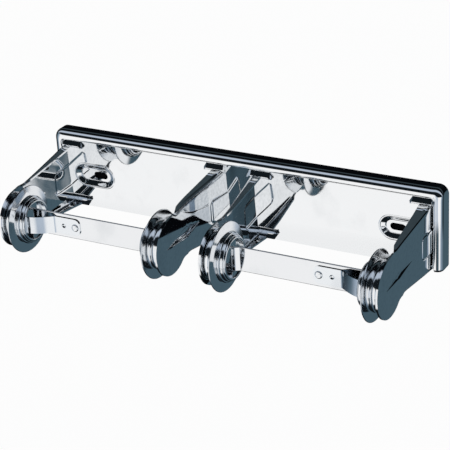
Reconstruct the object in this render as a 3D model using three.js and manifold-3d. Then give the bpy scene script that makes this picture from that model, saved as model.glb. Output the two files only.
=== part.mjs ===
// Two-roll wall dispenser for toilet paper, all sizes in millimetres.
// X runs to the right along the plate, Y into the wall, Z up.
// The origin is the centre of the plate's rear face, in the plane of the wall.

import * as THREE from "three";
import { mergeVertices } from "three/addons/utils/BufferGeometryUtils.js";
import Module from "manifold-3d";

const wasm = await Module();
wasm.setup();

// Back plate
const plateWidth = 332;
const plateHeight = 66;
const plateDepth = 13;
const plateSheet = 1.2;
const borderWidth = 7;
const panelForward = 7.5;
const plateCornerRadius = 7;
const borderInnerRadius = 3;
const borderEdgeRadius = 6;

// Shallow screw dishes pressed into the panel, with a long hole in each floor
const dishFloorLength = 27;
const dishFloorHeight = 10;
const dishSpread = 4.25;
const dishDeep = 2.3;
const dishFromEnd = 33;
const dishZ = -4.5;
const slotLength = 12.5;
const slotHeight = 5.8;
const slotInward = 4.4;

// Spool axis, measured from the wall and from the plate's centre
const axisForward = 83.7;
const axisZ = -11.7;

// Arms: the clear width for a roll between a bay's flanges comes to 114.3
const outerArmInset = 2.6;
const innerArmFace = 17.3;
const innerArmLean = 6.1;
const armSheet = 1.5;
const armEndRadius = 22.5;
const armRearDrop = 3.3;
const armBottomInset = 0.4;
const armLowerSlope = 0.09;
const armNeckBlend = 5;
const armFlange = 9.3;
const armFlangeTip = 4;
const armFlangeFront = 78;
const armFlangeTaper = 10;
const leanFront = 60;

// Pressed pad near the plate and pressed dart along the middle of each arm
const padFrom = 9;
const padTo = 30;
const padBottom = -16.5;
const padTop = 2.2;
const padCorner = 4;
const padProud = 0.6;
const dartFrom = 46;
const dartTo = 91;
const dartWidest = 68;
const dartRise = 4;
const dartWidth = 6;
const dartDeep = 0.8;

// Foot tabs and their rivets
const footReach = 18.5;
const footUnderBorder = 0.9;
const footHeight = 6.4;
const footRivetReach = 13;
const footRivetRadius = 1.5;
const footRivetHead = 2.5;
const footRivetDome = 1.4;

// Spools: everything on one arm that turns, measured inward from the arm's outer face
const flangeRadius = 26.25;
const flangeSheet = 1;
const spoolReach = 12.4;
const cupSheet = 1;
const ribRadius = 19;
const ribDeep = 0.9;
const hubLength = 6;
const hubRibRadius = 18.7;
const hubTaper = 1.3;
const mouthRadius = 14.5;
const lipRound = 1.2;
const studRadius = 4;
const studHeadRadius = 8;
const studHeadThick = 2;
const washerRadius = 9.5;
const washerThick = 0.6;
const restWidth = 8;
const restInner = 7.4;

// Roll bar
const barHeight = 19.5;
const barSheet = 1.6;
const barBehindAxis = 1.1;
const joggle = 2;
const joggleFrom = 17.7;
const joggleTo = 22.6;
const barTravel = 3.2;
const barHook = 2.8;

// Latch leaf, its rivet and its locating dimple, measured inward from the outer arm's face
const leafHeight = 13.6;
const leafSheet = 0.9;
const leafInnerEnd = 58.4;
const leafEndRadius = 4.5;
const leafBend = 37;
const leafRivetAt = 54.3;
const leafDimpleAt = 44;
const leafDimpleRadius = 1.9;
const leafDimpleProud = 0.7;
const leafBow = 9.3;
const leafRivetRadius = 1.9;
const leafRivetHead = 3;
const leafRivetDome = 1.3;

// Clearances, and how far a cut runs past the face it opens
const touch = 0.05;
const hole = 0.15;
const slide = 0.3;
const past = 4;

// Sizes that follow from the ones above
const topZ = plateHeight / 2;
const dishX = plateWidth / 2 - dishFromEnd;
const slotX = dishX - slotInward;
const dishFloorForward = panelForward - dishDeep;
const outerArmFace = plateWidth / 2 - borderWidth - outerArmInset;
const innerArmRoot = innerArmFace - innerArmLean;
const footTop = topZ - borderWidth - footUnderBorder;
const armRearTop = footTop - armRearDrop;
const armRearBottom = armBottomInset - topZ;
const armRear = panelForward + touch;
const armFront = axisForward + armEndRadius + past;
const axisY = -axisForward;
const hubMouth = spoolReach + hubLength;
const hubCrown = hubMouth - lipRound;
const hubStep = (spoolReach + hubCrown) / 2;
const hubThroat = hubRibRadius - hubTaper - ribDeep - cupSheet;
const leafHookTip = Math.sqrt((hubThroat - slide) ** 2 - leafHeight ** 2 / 4);
const flangeBack = spoolReach - flangeSheet;
const barY = axisY + barBehindAxis;
const barFront = barY - barSheet / 2;
const barBack = barY + barSheet / 2;
const leafBack = barFront - touch;
const leafFront = leafBack - leafSheet;
const spoolSteps = 32;

// Closed triangles that face out, from any three.js geometry
function closed(geometry) {
  const bare = geometry.clone();
  bare.deleteAttribute("normal");
  bare.deleteAttribute("uv");
  const welded = mergeVertices(bare, 1e-4);
  const index = welded.index.array;
  const position = welded.attributes.position.array;
  const triangles = [];
  const a = new THREE.Vector3();
  const b = new THREE.Vector3();
  const c = new THREE.Vector3();
  let volume = 0;
  for (let i = 0; i < index.length; i += 3) {
    const corners = [index[i], index[i + 1], index[i + 2]];
    if (new Set(corners).size < 3) {
      continue;
    }
    triangles.push(...corners);
    a.fromArray(position, 3 * corners[0]);
    b.fromArray(position, 3 * corners[1]);
    c.fromArray(position, 3 * corners[2]);
    volume += a.dot(b.cross(c));
  }
  if (volume < 0) {
    triangles.reverse();
  }
  return { position, triangles };
}

function solid(geometry) {
  const { position, triangles } = closed(geometry);
  const mesh = new wasm.Mesh({
    numProp: 3,
    vertProperties: new Float32Array(position),
    triVerts: new Uint32Array(triangles),
  });
  return new wasm.Manifold(mesh);
}

function surface(body) {
  const mesh = body.getMesh();
  const geometry = new THREE.BufferGeometry();
  const position = new Float32Array(mesh.vertProperties);
  geometry.setAttribute("position", new THREE.BufferAttribute(position, 3));
  geometry.setIndex(new THREE.BufferAttribute(new Uint32Array(mesh.triVerts), 1));
  return geometry;
}

function reflected(body) {
  const geometry = surface(body);
  geometry.applyMatrix4(new THREE.Matrix4().makeScale(-1, 1, 1));
  return solid(geometry);
}

const right = new THREE.Vector3(1, 0, 0);
const intoWall = new THREE.Vector3(0, 1, 0);
const forward = new THREE.Vector3(0, -1, 0);
const up = new THREE.Vector3(0, 0, 1);

// A shape drawn in two directions and pushed along the third, with an optional rounded edge
function pushed(shape, from, to, basis, bevel = { bevelEnabled: false }) {
  const options = { depth: to - from, curveSegments: 5, ...bevel };
  const geometry = new THREE.ExtrudeGeometry(shape, options);
  geometry.translate(0, 0, from);
  geometry.applyMatrix4(new THREE.Matrix4().makeBasis(...basis));
  return solid(geometry);
}

// Drawn as distance from the wall and height, pushed from one X to another
function alongX(shape, from, to, curveSegments = 5) {
  return pushed(shape, from, to, [forward, up, right], { bevelEnabled: false, curveSegments });
}

// Drawn as X and height, pushed from one Y to another
function alongY(shape, from, to) {
  return pushed(shape, from, to, [right, up, intoWall]);
}

// Drawn as X and Y, pushed from one height to another
function alongZ(shape, from, to) {
  return pushed(shape, from, to, [right, intoWall, up]);
}

function polygon(points) {
  return new THREE.Shape(points.map(([x, y]) => new THREE.Vector2(x, y)));
}

function block(x0, x1, y0, y1, z0, z1) {
  return alongZ(polygon([[x0, y0], [x1, y0], [x1, y1], [x0, y1]]), z0, z1);
}

function stadium(x, y, length, height) {
  const radius = height / 2;
  const half = length / 2 - radius;
  const shape = new THREE.Shape();
  shape.moveTo(x - half, y - radius);
  shape.lineTo(x + half, y - radius);
  shape.absarc(x + half, y, radius, -Math.PI / 2, Math.PI / 2, false);
  shape.lineTo(x - half, y + radius);
  shape.absarc(x - half, y, radius, Math.PI / 2, 1.5 * Math.PI, false);
  return shape;
}

function hoop(x, y, radius) {
  const points = [];
  const steps = 14;
  for (let i = 0; i < steps; i += 1) {
    const turn = (2 * Math.PI * i) / steps;
    points.push([x + radius * Math.cos(turn), y + radius * Math.sin(turn)]);
  }
  return polygon(points);
}

// A rectangle open at the bottom end of the plate, with its two upper corners rounded
function arch(halfWidth, bottom, top, radius) {
  const shape = new THREE.Shape();
  shape.moveTo(-halfWidth, bottom);
  shape.lineTo(halfWidth, bottom);
  shape.lineTo(halfWidth, top - radius);
  shape.absarc(halfWidth - radius, top - radius, radius, 0, Math.PI / 2, false);
  shape.lineTo(radius - halfWidth, top);
  shape.absarc(radius - halfWidth, top - radius, radius, Math.PI / 2, Math.PI, false);
  return shape;
}

// Turned pieces: profile points are [distance along the axis, radius]
function turned(profile, steps) {
  const points = profile.map(([height, radius]) => new THREE.Vector2(radius, height));
  return new THREE.LatheGeometry(points, steps);
}

// Turned about the spool axis, measured inward from an arm's outer face
function turnedOnSpool(profile, arm, steps = 24) {
  const inward = profile.map(([height, radius]) => [arm.side * height, radius]);
  const geometry = turned(inward, steps);
  geometry.rotateZ(-Math.PI / 2);
  geometry.translate(arm.face, axisY, axisZ);
  return solid(geometry);
}

// Turned about a line from the wall, measured forward from the wall
function turnedForward(profile, x, z, steps = 12) {
  const geometry = turned(profile, steps);
  geometry.scale(1, -1, 1);
  geometry.translate(x, 0, z);
  return solid(geometry);
}

// A thin strip of even thickness on both sides of a line of points
function ribbon(line, thickness) {
  const half = thickness / 2;
  const oneSide = [];
  const otherSide = [];
  line.forEach((point, i) => {
    const before = line[Math.max(i - 1, 0)];
    const after = line[Math.min(i + 1, line.length - 1)];
    const arriving = new THREE.Vector2().subVectors(point, before).normalize();
    const leaving = new THREE.Vector2().subVectors(after, point).normalize();
    const way = new THREE.Vector2().addVectors(arriving, leaving).normalize();
    const lean = Math.max(way.dot(i > 0 ? arriving : leaving), 0.5);
    const across = new THREE.Vector2(-way.y, way.x).multiplyScalar(half / lean);
    oneSide.push(new THREE.Vector2().addVectors(point, across));
    otherSide.unshift(new THREE.Vector2().subVectors(point, across));
  });
  return new THREE.Shape([...oneSide, ...otherSide]);
}

const outerArm = { face: -outerArmFace, root: -outerArmFace, side: 1 };
const innerArm = { face: -innerArmFace, root: -innerArmRoot, side: -1 };

// Where an arm's upper and lower foot tabs are riveted to the plate
function footRivetPlaces(arm) {
  const x = arm.root + arm.side * footRivetReach;
  return { top: [x, footTop - footHeight / 2], bottom: [x, armRearBottom + footHeight * 0.6] };
}

function dish(floorLength, floorHeight, floorForward, topForward) {
  const shape = stadium(dishX, dishZ, floorLength, floorHeight);
  const bowl = pushed(shape, topForward, topForward + past, [right, up, forward], {
    bevelEnabled: true,
    bevelThickness: topForward - floorForward,
    bevelSize: dishSpread,
    bevelSegments: 3,
    curveSegments: 6,
  });
  return bowl.add(reflected(bowl));
}

// A plate whose front edges are rounded to the radius given, from that crown back past the wall
function crowned(outline, radius) {
  return pushed(outline, borderEdgeRadius - plateDepth, past, [right, up, intoWall], {
    bevelEnabled: true,
    bevelThickness: radius,
    bevelSize: radius,
    bevelOffset: -radius,
    bevelSegments: 5,
    curveSegments: 6,
  });
}

// Everything in front of the wall and above the height given
function aboveFloor(height) {
  return block(-plateWidth, plateWidth, -2 * plateDepth, 0, height, plateHeight);
}

function backPlate() {
  const halfWidth = plateWidth / 2;
  const outline = arch(halfWidth, -plateHeight, topZ, plateCornerRadius);
  const blank = crowned(outline, borderEdgeRadius).intersect(aboveFloor(-topZ));
  const innerHalf = halfWidth - borderWidth;
  const innerTop = topZ - borderWidth;
  const recess = arch(innerHalf, -topZ - past, innerTop, borderInnerRadius);
  const step = arch(
    innerHalf + plateSheet, -topZ - past, innerTop + plateSheet, borderInnerRadius + plateSheet,
  );
  const inside = arch(
    halfWidth - plateSheet, -plateHeight, topZ - plateSheet, plateCornerRadius - plateSheet,
  );
  const panelRear = panelForward - plateSheet;
  const borderHollow = crowned(inside, borderEdgeRadius - plateSheet)
    .subtract(alongY(step, -plateDepth - past, 2 * past));
  const outerDish = dish(
    dishFloorLength + 2 * plateSheet, dishFloorHeight + 2 * plateSheet,
    dishFloorForward - plateSheet, panelRear,
  );
  const hollow = alongY(inside, -panelRear, past)
    .add(borderHollow)
    .intersect(aboveFloor(plateSheet - topZ))
    .subtract(outerDish);
  let plate = blank
    .subtract(alongY(recess, -plateDepth - past, -panelForward))
    .subtract(dish(dishFloorLength, dishFloorHeight, dishFloorForward, panelForward))
    .subtract(hollow);
  for (const x of [-slotX, slotX]) {
    const slot = stadium(x, dishZ, slotLength, slotHeight);
    plate = plate.subtract(alongY(slot, -panelForward, past));
  }
  for (const arm of [outerArm, innerArm]) {
    for (const [x, z] of Object.values(footRivetPlaces(arm))) {
      for (const way of [1, -1]) {
        const bore = hoop(way * x, z, footRivetRadius + hole);
        plate = plate.subtract(alongY(bore, -panelForward - past, -panelRear + past));
      }
    }
  }
  return plate;
}

// The arm seen from its side: two straight edges running into the round front end
const lowerEdge = (d) => armRearBottom + armLowerSlope * (d - armRear);
const rearCorner = new THREE.Vector2(armRear, armRearTop);
const endCentre = new THREE.Vector2(axisForward, axisZ);
const toCentre = new THREE.Vector2().subVectors(endCentre, rearCorner);
const topTilt = toCentre.angle() + Math.asin(armEndRadius / toCentre.length()) - 2 * Math.PI;
const topEdge = (d) => armRearTop + Math.tan(topTilt) * (d - armRear);

function neckDistance() {
  const drop = lowerEdge(axisForward) - axisZ;
  const a = 1 + armLowerSlope * armLowerSlope;
  const b = 2 * armLowerSlope * drop;
  const c = drop * drop - armEndRadius * armEndRadius;
  return axisForward + (-b - Math.sqrt(b * b - 4 * a * c)) / (2 * a);
}

const neck = neckDistance();

function armOutline() {
  const neckTurn = Math.atan2(lowerEdge(neck) - axisZ, neck - axisForward);
  const blendTurn = neckTurn + armNeckBlend / armEndRadius;
  const blendEnd = [
    axisForward + armEndRadius * Math.cos(blendTurn),
    axisZ + armEndRadius * Math.sin(blendTurn),
  ];
  const shape = new THREE.Shape();
  shape.moveTo(armRear, armRearBottom);
  shape.lineTo(neck - armNeckBlend, lowerEdge(neck - armNeckBlend));
  shape.quadraticCurveTo(neck, lowerEdge(neck), ...blendEnd);
  shape.absarc(axisForward, axisZ, armEndRadius, blendTurn, topTilt + Math.PI / 2, false);
  shape.lineTo(armRear, armRearTop);
  return shape;
}

// A point of an arm seen from above; inner arms lean from the plate to where they run straight
function armPoint(arm, u, d) {
  const share = Math.min((d - armRear) / (leanFront - armRear), 1);
  return [arm.root + share * (arm.face - arm.root) + arm.side * u, -d];
}

// A line of an arm seen from above, with a corner where the lean ends
function planLine(arm, line) {
  return line.flatMap(([u, d], i) => {
    const [nextU, nextD] = line[i + 1] ?? [u, d];
    const point = armPoint(arm, u, d);
    if ((d - leanFront) * (nextD - leanFront) >= 0) {
      return [point];
    }
    const share = (leanFront - d) / (nextD - d);
    return [point, armPoint(arm, u + share * (nextU - u), leanFront)];
  });
}

// The inward side of the arm's flat sheet, and that of an edge turned in, from front to rear
const flatTo = (u) => [[u, armFront], [u, armRear]];
const turnedTo = (front) => {
  return [[armSheet, front], [armFlangeTip, front - armFlangeTaper], [armFlange, armRear]];
};

// What a shape seen from the arm's side keeps between a distance in and an inward side
function armSheetPart(arm, shape, from, inward) {
  const outer = planLine(arm, [[from, armRear], [from, inward[0][1]]]);
  const plan = polygon([...outer, ...planLine(arm, inward)]);
  return alongX(shape, -plateWidth, plateWidth, 14)
    .intersect(alongZ(plan, -2 * plateHeight, 2 * plateHeight));
}

function band(edge, front, thickness) {
  return polygon([
    [armRear, edge(armRear)],
    [front, edge(front)],
    [front, edge(front) + thickness],
    [armRear, edge(armRear) + thickness],
  ]);
}

function padShape(inset) {
  const corner = padCorner - inset;
  const [rear, front] = [padFrom + inset, padTo - inset];
  const [low, high] = [padBottom + inset, padTop - inset];
  const shape = new THREE.Shape();
  shape.moveTo(rear, low);
  shape.lineTo(front - corner, low);
  shape.lineTo(front - corner * 0.3, low + corner * 0.3);
  shape.lineTo(front, low + corner);
  shape.lineTo(front, high - corner);
  shape.lineTo(front - corner * 0.3, high - corner * 0.3);
  shape.lineTo(front - corner, high);
  shape.lineTo(rear, high);
  return shape;
}

function dartShape(front) {
  const half = dartWidth / 2;
  const rise = (d) => axisZ + (dartRise * (dartTo - d)) / (dartTo - dartFrom);
  const tip = Math.min(front, dartTo);
  const tipHalf = Math.max((half * (dartTo - tip)) / (dartTo - dartWidest), touch);
  return polygon([
    [dartFrom, rise(dartFrom)],
    [Math.min(dartWidest, tip - 1), rise(dartWidest) - half],
    [tip, rise(tip) - tipHalf],
    [tip, rise(tip) + tipHalf],
    [Math.min(dartWidest, tip - 1), rise(dartWidest) + half],
  ]);
}

function footTabs(arm) {
  const x = (reach) => arm.root + arm.side * reach;
  const upper = polygon([
    [x(0), footTop - footHeight],
    [x(footReach - 1.5), footTop - footHeight],
    [x(footReach), footTop - footHeight + 1.2],
    [x(footReach - 2.5), footTop],
    [x(0), footTop],
  ]);
  const low = armRearBottom;
  const lower = polygon([
    [x(0), low],
    [x(footReach - 3), low],
    [x(footReach + 1), low + footHeight - 0.6],
    [x(footReach - 1), low + footHeight + 0.8],
    [x(0), low + footHeight + 0.8],
  ]);
  const front = -armRear - armSheet;
  return alongY(upper, front, -armRear).add(alongY(lower, front, -armRear));
}

function armBody(arm) {
  const lowerFront = neck - armNeckBlend;
  const innerDart = dartShape(axisForward - ribRadius - slide);
  const topBand = band(topEdge, axisForward, -armSheet);
  const lowerBand = band(lowerEdge, lowerFront, armSheet);
  let body = armSheetPart(arm, armOutline(), 0, flatTo(armSheet))
    .add(armSheetPart(arm, topBand, 0, turnedTo(armFlangeFront)))
    .add(armSheetPart(arm, lowerBand, 0, turnedTo(lowerFront)))
    .add(armSheetPart(arm, padShape(0), -padProud, flatTo(armSheet / 2)))
    .subtract(armSheetPart(arm, padShape(padProud), armSheet - padProud, flatTo(armSheet + touch)))
    .add(armSheetPart(arm, innerDart, armSheet / 2, flatTo(armSheet + dartDeep)))
    .subtract(armSheetPart(arm, dartShape(dartTo), -past, flatTo(dartDeep)))
    .add(footTabs(arm));
  for (const [x, z] of Object.values(footRivetPlaces(arm))) {
    const bore = hoop(x, z, footRivetRadius + hole);
    body = body.subtract(alongY(bore, -armRear - past, -armRear + past));
  }
  return body;
}

function footRivet(place) {
  const panelRear = panelForward - plateSheet - touch;
  const tabFront = armRear + armSheet + touch;
  return turnedForward([
    [panelRear - 1, 0],
    [panelRear - 1, footRivetHead - 0.4],
    [panelRear, footRivetHead - 0.4],
    [panelRear, footRivetRadius],
    [tabFront, footRivetRadius],
    [tabFront, footRivetHead],
    [tabFront + 0.55 * footRivetDome, 0.84 * footRivetHead],
    [tabFront + 0.9 * footRivetDome, 0.45 * footRivetHead],
    [tabFront + footRivetDome, 0],
  ], ...place);
}

// Two rounded ribs of equal width along a drum; the second stands lower by the taper
function ribs(from, to, crest, taper = 0) {
  const points = [];
  const width = (to - from) / 2;
  for (const i of [0, 1]) {
    for (const [share, drop] of [[0, 1], [0.24, 0.15], [0.76, 0.15]]) {
      points.push([from + (i + share) * width, crest - i * taper - drop * ribDeep]);
    }
  }
  points.push([to, crest - taper - ribDeep]);
  return points;
}

function ring(profile) {
  return [...profile, profile[0]];
}

function hubStud(arm) {
  const base = armSheet + touch;
  const head = armSheet + slide + cupSheet + slide + washerThick + touch;
  return turnedOnSpool([
    [base, 0],
    [base, studRadius],
    [head, studRadius],
    [head, studHeadRadius],
    [head + 0.7 * studHeadThick, studHeadRadius],
    [head + studHeadThick, 0.8 * studHeadRadius],
    [head + studHeadThick, 0],
  ], arm);
}

function hubWasher(arm) {
  const near = armSheet + slide + cupSheet + slide / 2;
  const far = near + washerThick;
  return turnedOnSpool(ring([
    [near, studRadius + hole],
    [near, washerRadius],
    [far, washerRadius],
    [far, studRadius + hole],
  ]), arm);
}

function spacerCup(arm) {
  const floor = armSheet + slide;
  const rim = flangeBack - touch;
  const inner = ribRadius - ribDeep - cupSheet;
  return turnedOnSpool(ring([
    [floor, studRadius + slide],
    ...ribs(floor, rim, ribRadius),
    [rim, inner],
    [floor + cupSheet, inner],
    [floor + cupSheet, studRadius + slide],
  ]), arm, spoolSteps);
}

// Two rests across the inside of the hub carry the bar's edges and stop it going back
function barRests(arm, grooveY, reachIn) {
  const start = spoolReach - flangeSheet / 2;
  const inWall = hubThroat + cupSheet / 2;
  const core = turnedOnSpool([
    [start, 0],
    [start, inWall + hubTaper],
    [hubStep - cupSheet / 2, inWall + hubTaper],
    [hubStep - cupSheet / 2, inWall],
    [reachIn, inWall],
    [reachIn, 0],
  ], arm, spoolSteps);
  const ends = [arm.face + arm.side * start, arm.face + arm.side * reachIn];
  const [x0, x1] = [Math.min(...ends) - past, Math.max(...ends) + past];
  const halfGroove = barHeight / 2 + slide;
  const [y0, y1] = [axisY - restWidth / 2, axisY + restWidth / 2];
  const grooveBack = grooveY + barSheet / 2 + slide;
  const groove = block(x0, x1, y0 - past, grooveBack, axisZ - halfGroove, axisZ + halfGroove);
  const gap = block(x0, x1, y0 - past, y1 + past, axisZ - restInner, axisZ + restInner);
  return block(x0, x1, y0, y1, axisZ - flangeRadius, axisZ + flangeRadius)
    .subtract(gap)
    .subtract(groove)
    .intersect(core);
}

function hubCup(arm, grooveY, restTo) {
  const edge = flangeSheet / 2;
  const base = hubRibRadius - hubTaper - ribDeep;
  const shell = turnedOnSpool([
    [flangeBack, 0],
    [flangeBack, flangeRadius - edge * 0.6],
    [flangeBack + edge, flangeRadius],
    [spoolReach, flangeRadius - edge * 0.6],
    ...ribs(spoolReach, hubCrown, hubRibRadius, hubTaper),
    [hubMouth - 0.4 * lipRound, base - 0.5 * lipRound],
    [hubMouth, base - 1.3 * lipRound],
    [hubMouth, mouthRadius],
    [hubMouth - cupSheet, mouthRadius],
    [hubMouth - cupSheet, hubThroat],
    [hubStep - cupSheet, hubThroat],
    [hubStep - cupSheet, hubThroat + hubTaper],
    [spoolReach, hubThroat + hubTaper],
    [spoolReach, 0],
  ], arm, spoolSteps);
  return shell.add(barRests(arm, grooveY, restTo));
}

function rollBar() {
  const outer = -outerArmFace + hubMouth - barHook;
  const inner = -innerArmFace - spoolReach - barTravel;
  const bendFrom = -innerArmFace - joggleTo;
  const bendTo = -innerArmFace - joggleFrom;
  const strip = polygon([
    [outer, barFront],
    [bendFrom, barFront],
    [bendTo, barFront - joggle],
    [inner, barFront - joggle],
    [inner, barBack - joggle],
    [bendTo, barBack - joggle],
    [bendFrom, barBack],
    [outer, barBack],
  ]);
  const bar = alongZ(strip, axisZ - barHeight / 2, axisZ + barHeight / 2);
  const bore = hoop(leafRivetAt - outerArmFace, axisZ, leafRivetRadius + hole);
  return bar.subtract(alongY(bore, barFront - past, barBack + past));
}

function leafFoot() {
  const half = leafHeight / 2;
  const [bend, end] = [leafBend - outerArmFace, leafInnerEnd - outerArmFace];
  const cornerX = end - leafEndRadius;
  const cornerZ = half - leafEndRadius;
  const shape = new THREE.Shape();
  shape.moveTo(bend, axisZ - half);
  shape.lineTo(cornerX, axisZ - half);
  shape.absarc(cornerX, axisZ - cornerZ, leafEndRadius, -Math.PI / 2, 0, false);
  shape.lineTo(end, axisZ + cornerZ);
  shape.absarc(cornerX, axisZ + cornerZ, leafEndRadius, 0, Math.PI / 2, false);
  shape.lineTo(bend, axisZ + half);
  const bore = hoop(leafRivetAt - outerArmFace, axisZ, leafRivetRadius + hole);
  const dimple = turnedForward([
    [-leafFront - leafSheet / 2, 0],
    [-leafFront - leafSheet / 2, leafDimpleRadius],
    [-leafFront, leafDimpleRadius],
    [-leafFront + 0.6 * leafDimpleProud, 0.75 * leafDimpleRadius],
    [-leafFront + leafDimpleProud, 0],
  ], leafDimpleAt - outerArmFace, axisZ);
  return alongY(shape, leafFront, leafBack)
    .add(dimple)
    .subtract(alongY(bore, leafFront - past, leafBack + past));
}

// The springing arm bows away from the bar, passes the hub's mouth and hooks behind its lip
function latchLeaf() {
  const start = leafBend - slide;
  const hookAt = hubMouth - cupSheet - slide - leafSheet / 2;
  const middle = leafBack - leafSheet / 2;
  const run = start - hookAt;
  const bowed = [[0, 0], [0.07, 0.06], [0.2, 0.24], [0.4, 0.55], [0.62, 0.8], [0.82, 0.94], [1, 1]];
  const bow = new THREE.SplineCurve(bowed.map(([share, rise]) => {
    return new THREE.Vector2(start - share * run - outerArmFace, middle - rise * leafBow);
  }));
  const line = bow.getPoints(18);
  line.push(new THREE.Vector2(hookAt - outerArmFace - 0.2 * leafSheet, axisY - leafHookTip));
  return alongZ(ribbon(line, leafSheet), axisZ - leafHeight / 2, axisZ + leafHeight / 2);
}

function leafRivet() {
  const tail = -barBack - touch;
  const head = -leafFront + touch;
  return turnedForward([
    [tail - 1, 0],
    [tail - 1, leafRivetHead - 0.5],
    [tail, leafRivetHead - 0.5],
    [tail, leafRivetRadius],
    [head, leafRivetRadius],
    [head, leafRivetHead],
    [head + 0.55 * leafRivetDome, 0.84 * leafRivetHead],
    [head + 0.9 * leafRivetDome, 0.45 * leafRivetHead],
    [head + leafRivetDome, 0],
  ], leafRivetAt - outerArmFace, axisZ, 18);
}

const chrome = { color: 0xd9dcdf, roughness: 0.08, metalness: 1 };
const springSteel = { color: 0xcfd3d6, roughness: 0.14, metalness: 1 };
const plainSteel = { color: 0xb4b7b9, roughness: 0.35, metalness: 1 };

function piece(name, body, finish) {
  const geometry = surface(body);
  geometry.computeVertexNormals();
  const mesh = new THREE.Mesh(geometry, new THREE.MeshStandardMaterial(finish));
  mesh.name = name;
  return mesh;
}

// Everything in the left bay, by its short name
function bayPieces() {
  const pieces = [];
  const restEnd = hubMouth - 1.2 * cupSheet;
  const places = [
    ["outer", outerArm, barY, restEnd],
    ["inner", innerArm, barY - joggle, Math.min(restEnd, joggleFrom - slide)],
  ];
  for (const [place, arm, grooveY, restTo] of places) {
    pieces.push([`${place}_arm`, armBody(arm), chrome]);
    pieces.push([`${place}_hub_stud`, hubStud(arm), plainSteel]);
    pieces.push([`${place}_hub_washer`, hubWasher(arm), plainSteel]);
    pieces.push([`${place}_spacer_cup`, spacerCup(arm), chrome]);
    pieces.push([`${place}_hub_cup`, hubCup(arm, grooveY, restTo), chrome]);
    for (const [end, where] of Object.entries(footRivetPlaces(arm))) {
      pieces.push([`${place}_${end}_foot_rivet`, footRivet(where), plainSteel]);
    }
  }
  pieces.push(["roll_bar", rollBar(), chrome]);
  pieces.push(["leaf_foot", leafFoot(), springSteel]);
  pieces.push(["latch_leaf", latchLeaf(), springSteel]);
  pieces.push(["leaf_rivet", leafRivet(), plainSteel]);
  return pieces;
}

const dispenser = new THREE.Group();
dispenser.name = "toilet_roll_dispenser";
dispenser.add(piece("back_plate", backPlate(), chrome));

const leftBay = new THREE.Group();
leftBay.name = "left_bay";
const rightBay = new THREE.Group();
rightBay.name = "right_bay";
for (const [name, body, finish] of bayPieces()) {
  leftBay.add(piece(`left_${name}`, body, finish));
  rightBay.add(piece(`right_${name}`, reflected(body), finish));
}
dispenser.add(leftBay, rightBay);

export default dispenser;
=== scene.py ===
"""Looks for a chrome wall dispenser that holds toilet rolls side by side.

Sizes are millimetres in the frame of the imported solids: X runs to the right along the plate,
Y into the wall and Z up, from the plate's centre in the plane of the wall. Each bay is drawn
once with X growing outward from the plate's middle, and its sign puts it on the left or right.
"""

import logging
import math
from abc import ABC, abstractmethod
from dataclasses import dataclass, field
from enum import Enum
from typing import Callable, Iterable, Optional, Sequence, Union

import bmesh
import bpy
from mathutils import Matrix, Vector
from mathutils.geometry import delaunay_2d_cdt


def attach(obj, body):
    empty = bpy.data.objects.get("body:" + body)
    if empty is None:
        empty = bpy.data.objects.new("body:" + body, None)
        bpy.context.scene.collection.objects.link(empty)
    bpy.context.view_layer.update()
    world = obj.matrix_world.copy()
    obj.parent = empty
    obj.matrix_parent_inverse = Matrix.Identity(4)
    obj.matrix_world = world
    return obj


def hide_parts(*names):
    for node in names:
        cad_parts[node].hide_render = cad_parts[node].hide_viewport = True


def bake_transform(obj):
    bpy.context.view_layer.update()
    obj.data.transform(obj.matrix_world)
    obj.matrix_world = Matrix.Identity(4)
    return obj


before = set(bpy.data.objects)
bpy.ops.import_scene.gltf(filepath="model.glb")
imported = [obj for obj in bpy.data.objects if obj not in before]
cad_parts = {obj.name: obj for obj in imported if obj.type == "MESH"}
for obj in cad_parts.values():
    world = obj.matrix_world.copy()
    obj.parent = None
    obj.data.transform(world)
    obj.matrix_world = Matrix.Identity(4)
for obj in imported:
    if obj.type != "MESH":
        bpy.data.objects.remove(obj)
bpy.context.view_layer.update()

log = logging.getLogger("dispenser")

Point = tuple[float, float, float]
Flat = tuple[float, float]
Colour = tuple[float, float, float]
Feed = Union[bpy.types.NodeSocket, float]
Shade = Union[bpy.types.NodeSocket, Colour]

MM = 0.001
FORWARD = (0, -1, 0)

# Points nearer than the first merge, edges shorter than the second are dissolved, and a
# triangulation takes points nearer than the third as one.
MERGE_METRES = 2e-6
SLIVER_METRES = 1e-7
WELD_MM = 1e-5

# The triangulation's choice of triangles: only those inside the given edges.
INSIDE_ONLY = 1

# A part of a direction that counts as none.
NEGLIGIBLE = 1e-6

# The least angle between two runs that a bend is worked out for, in radians.
SHARPEST_CORNER = 0.2

# Edges sharper than the first angle are rounded, and turned ones above the second stay sharp.
EDGE_DEGREES = 38
CREASE_DEGREES = 40
EDGE_SPANS = 3

# A colour Mix node's two colours among its inputs, and its colour among its outputs.
COLOUR_INPUTS = (6, 7)
COLOUR_OUTPUT = 2

# A distance from the wall at which every arm already runs straight.
PAST_THE_LEAN = 100.0


class Bay(Enum):
    """The two halves of the dispenser; the value is the sign of X."""

    LEFT = -1
    RIGHT = 1

    @property
    def word(self) -> str:
        """The bay's word in node and body names."""
        return self.name.lower()


class Place(Enum):
    """The two arms of a bay, named by where they stand on the plate."""

    OUTER = "outer"
    INNER = "inner"


class Slot(Enum):
    """The record's material slots."""

    CHROME = "chrome"
    SPRING = "spring_steel"
    STEEL = "plain_steel"


class Body(Enum):
    """The moving bodies; a bay's own bodies take its word in front."""

    FRAME = "wall_frame"
    SPINDLE = "spindle"
    LATCH = "latch"

    def of(self, bay: Bay) -> str:
        """The body's name in a bay."""
        return f"{bay.word}_{self.value}"


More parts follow.
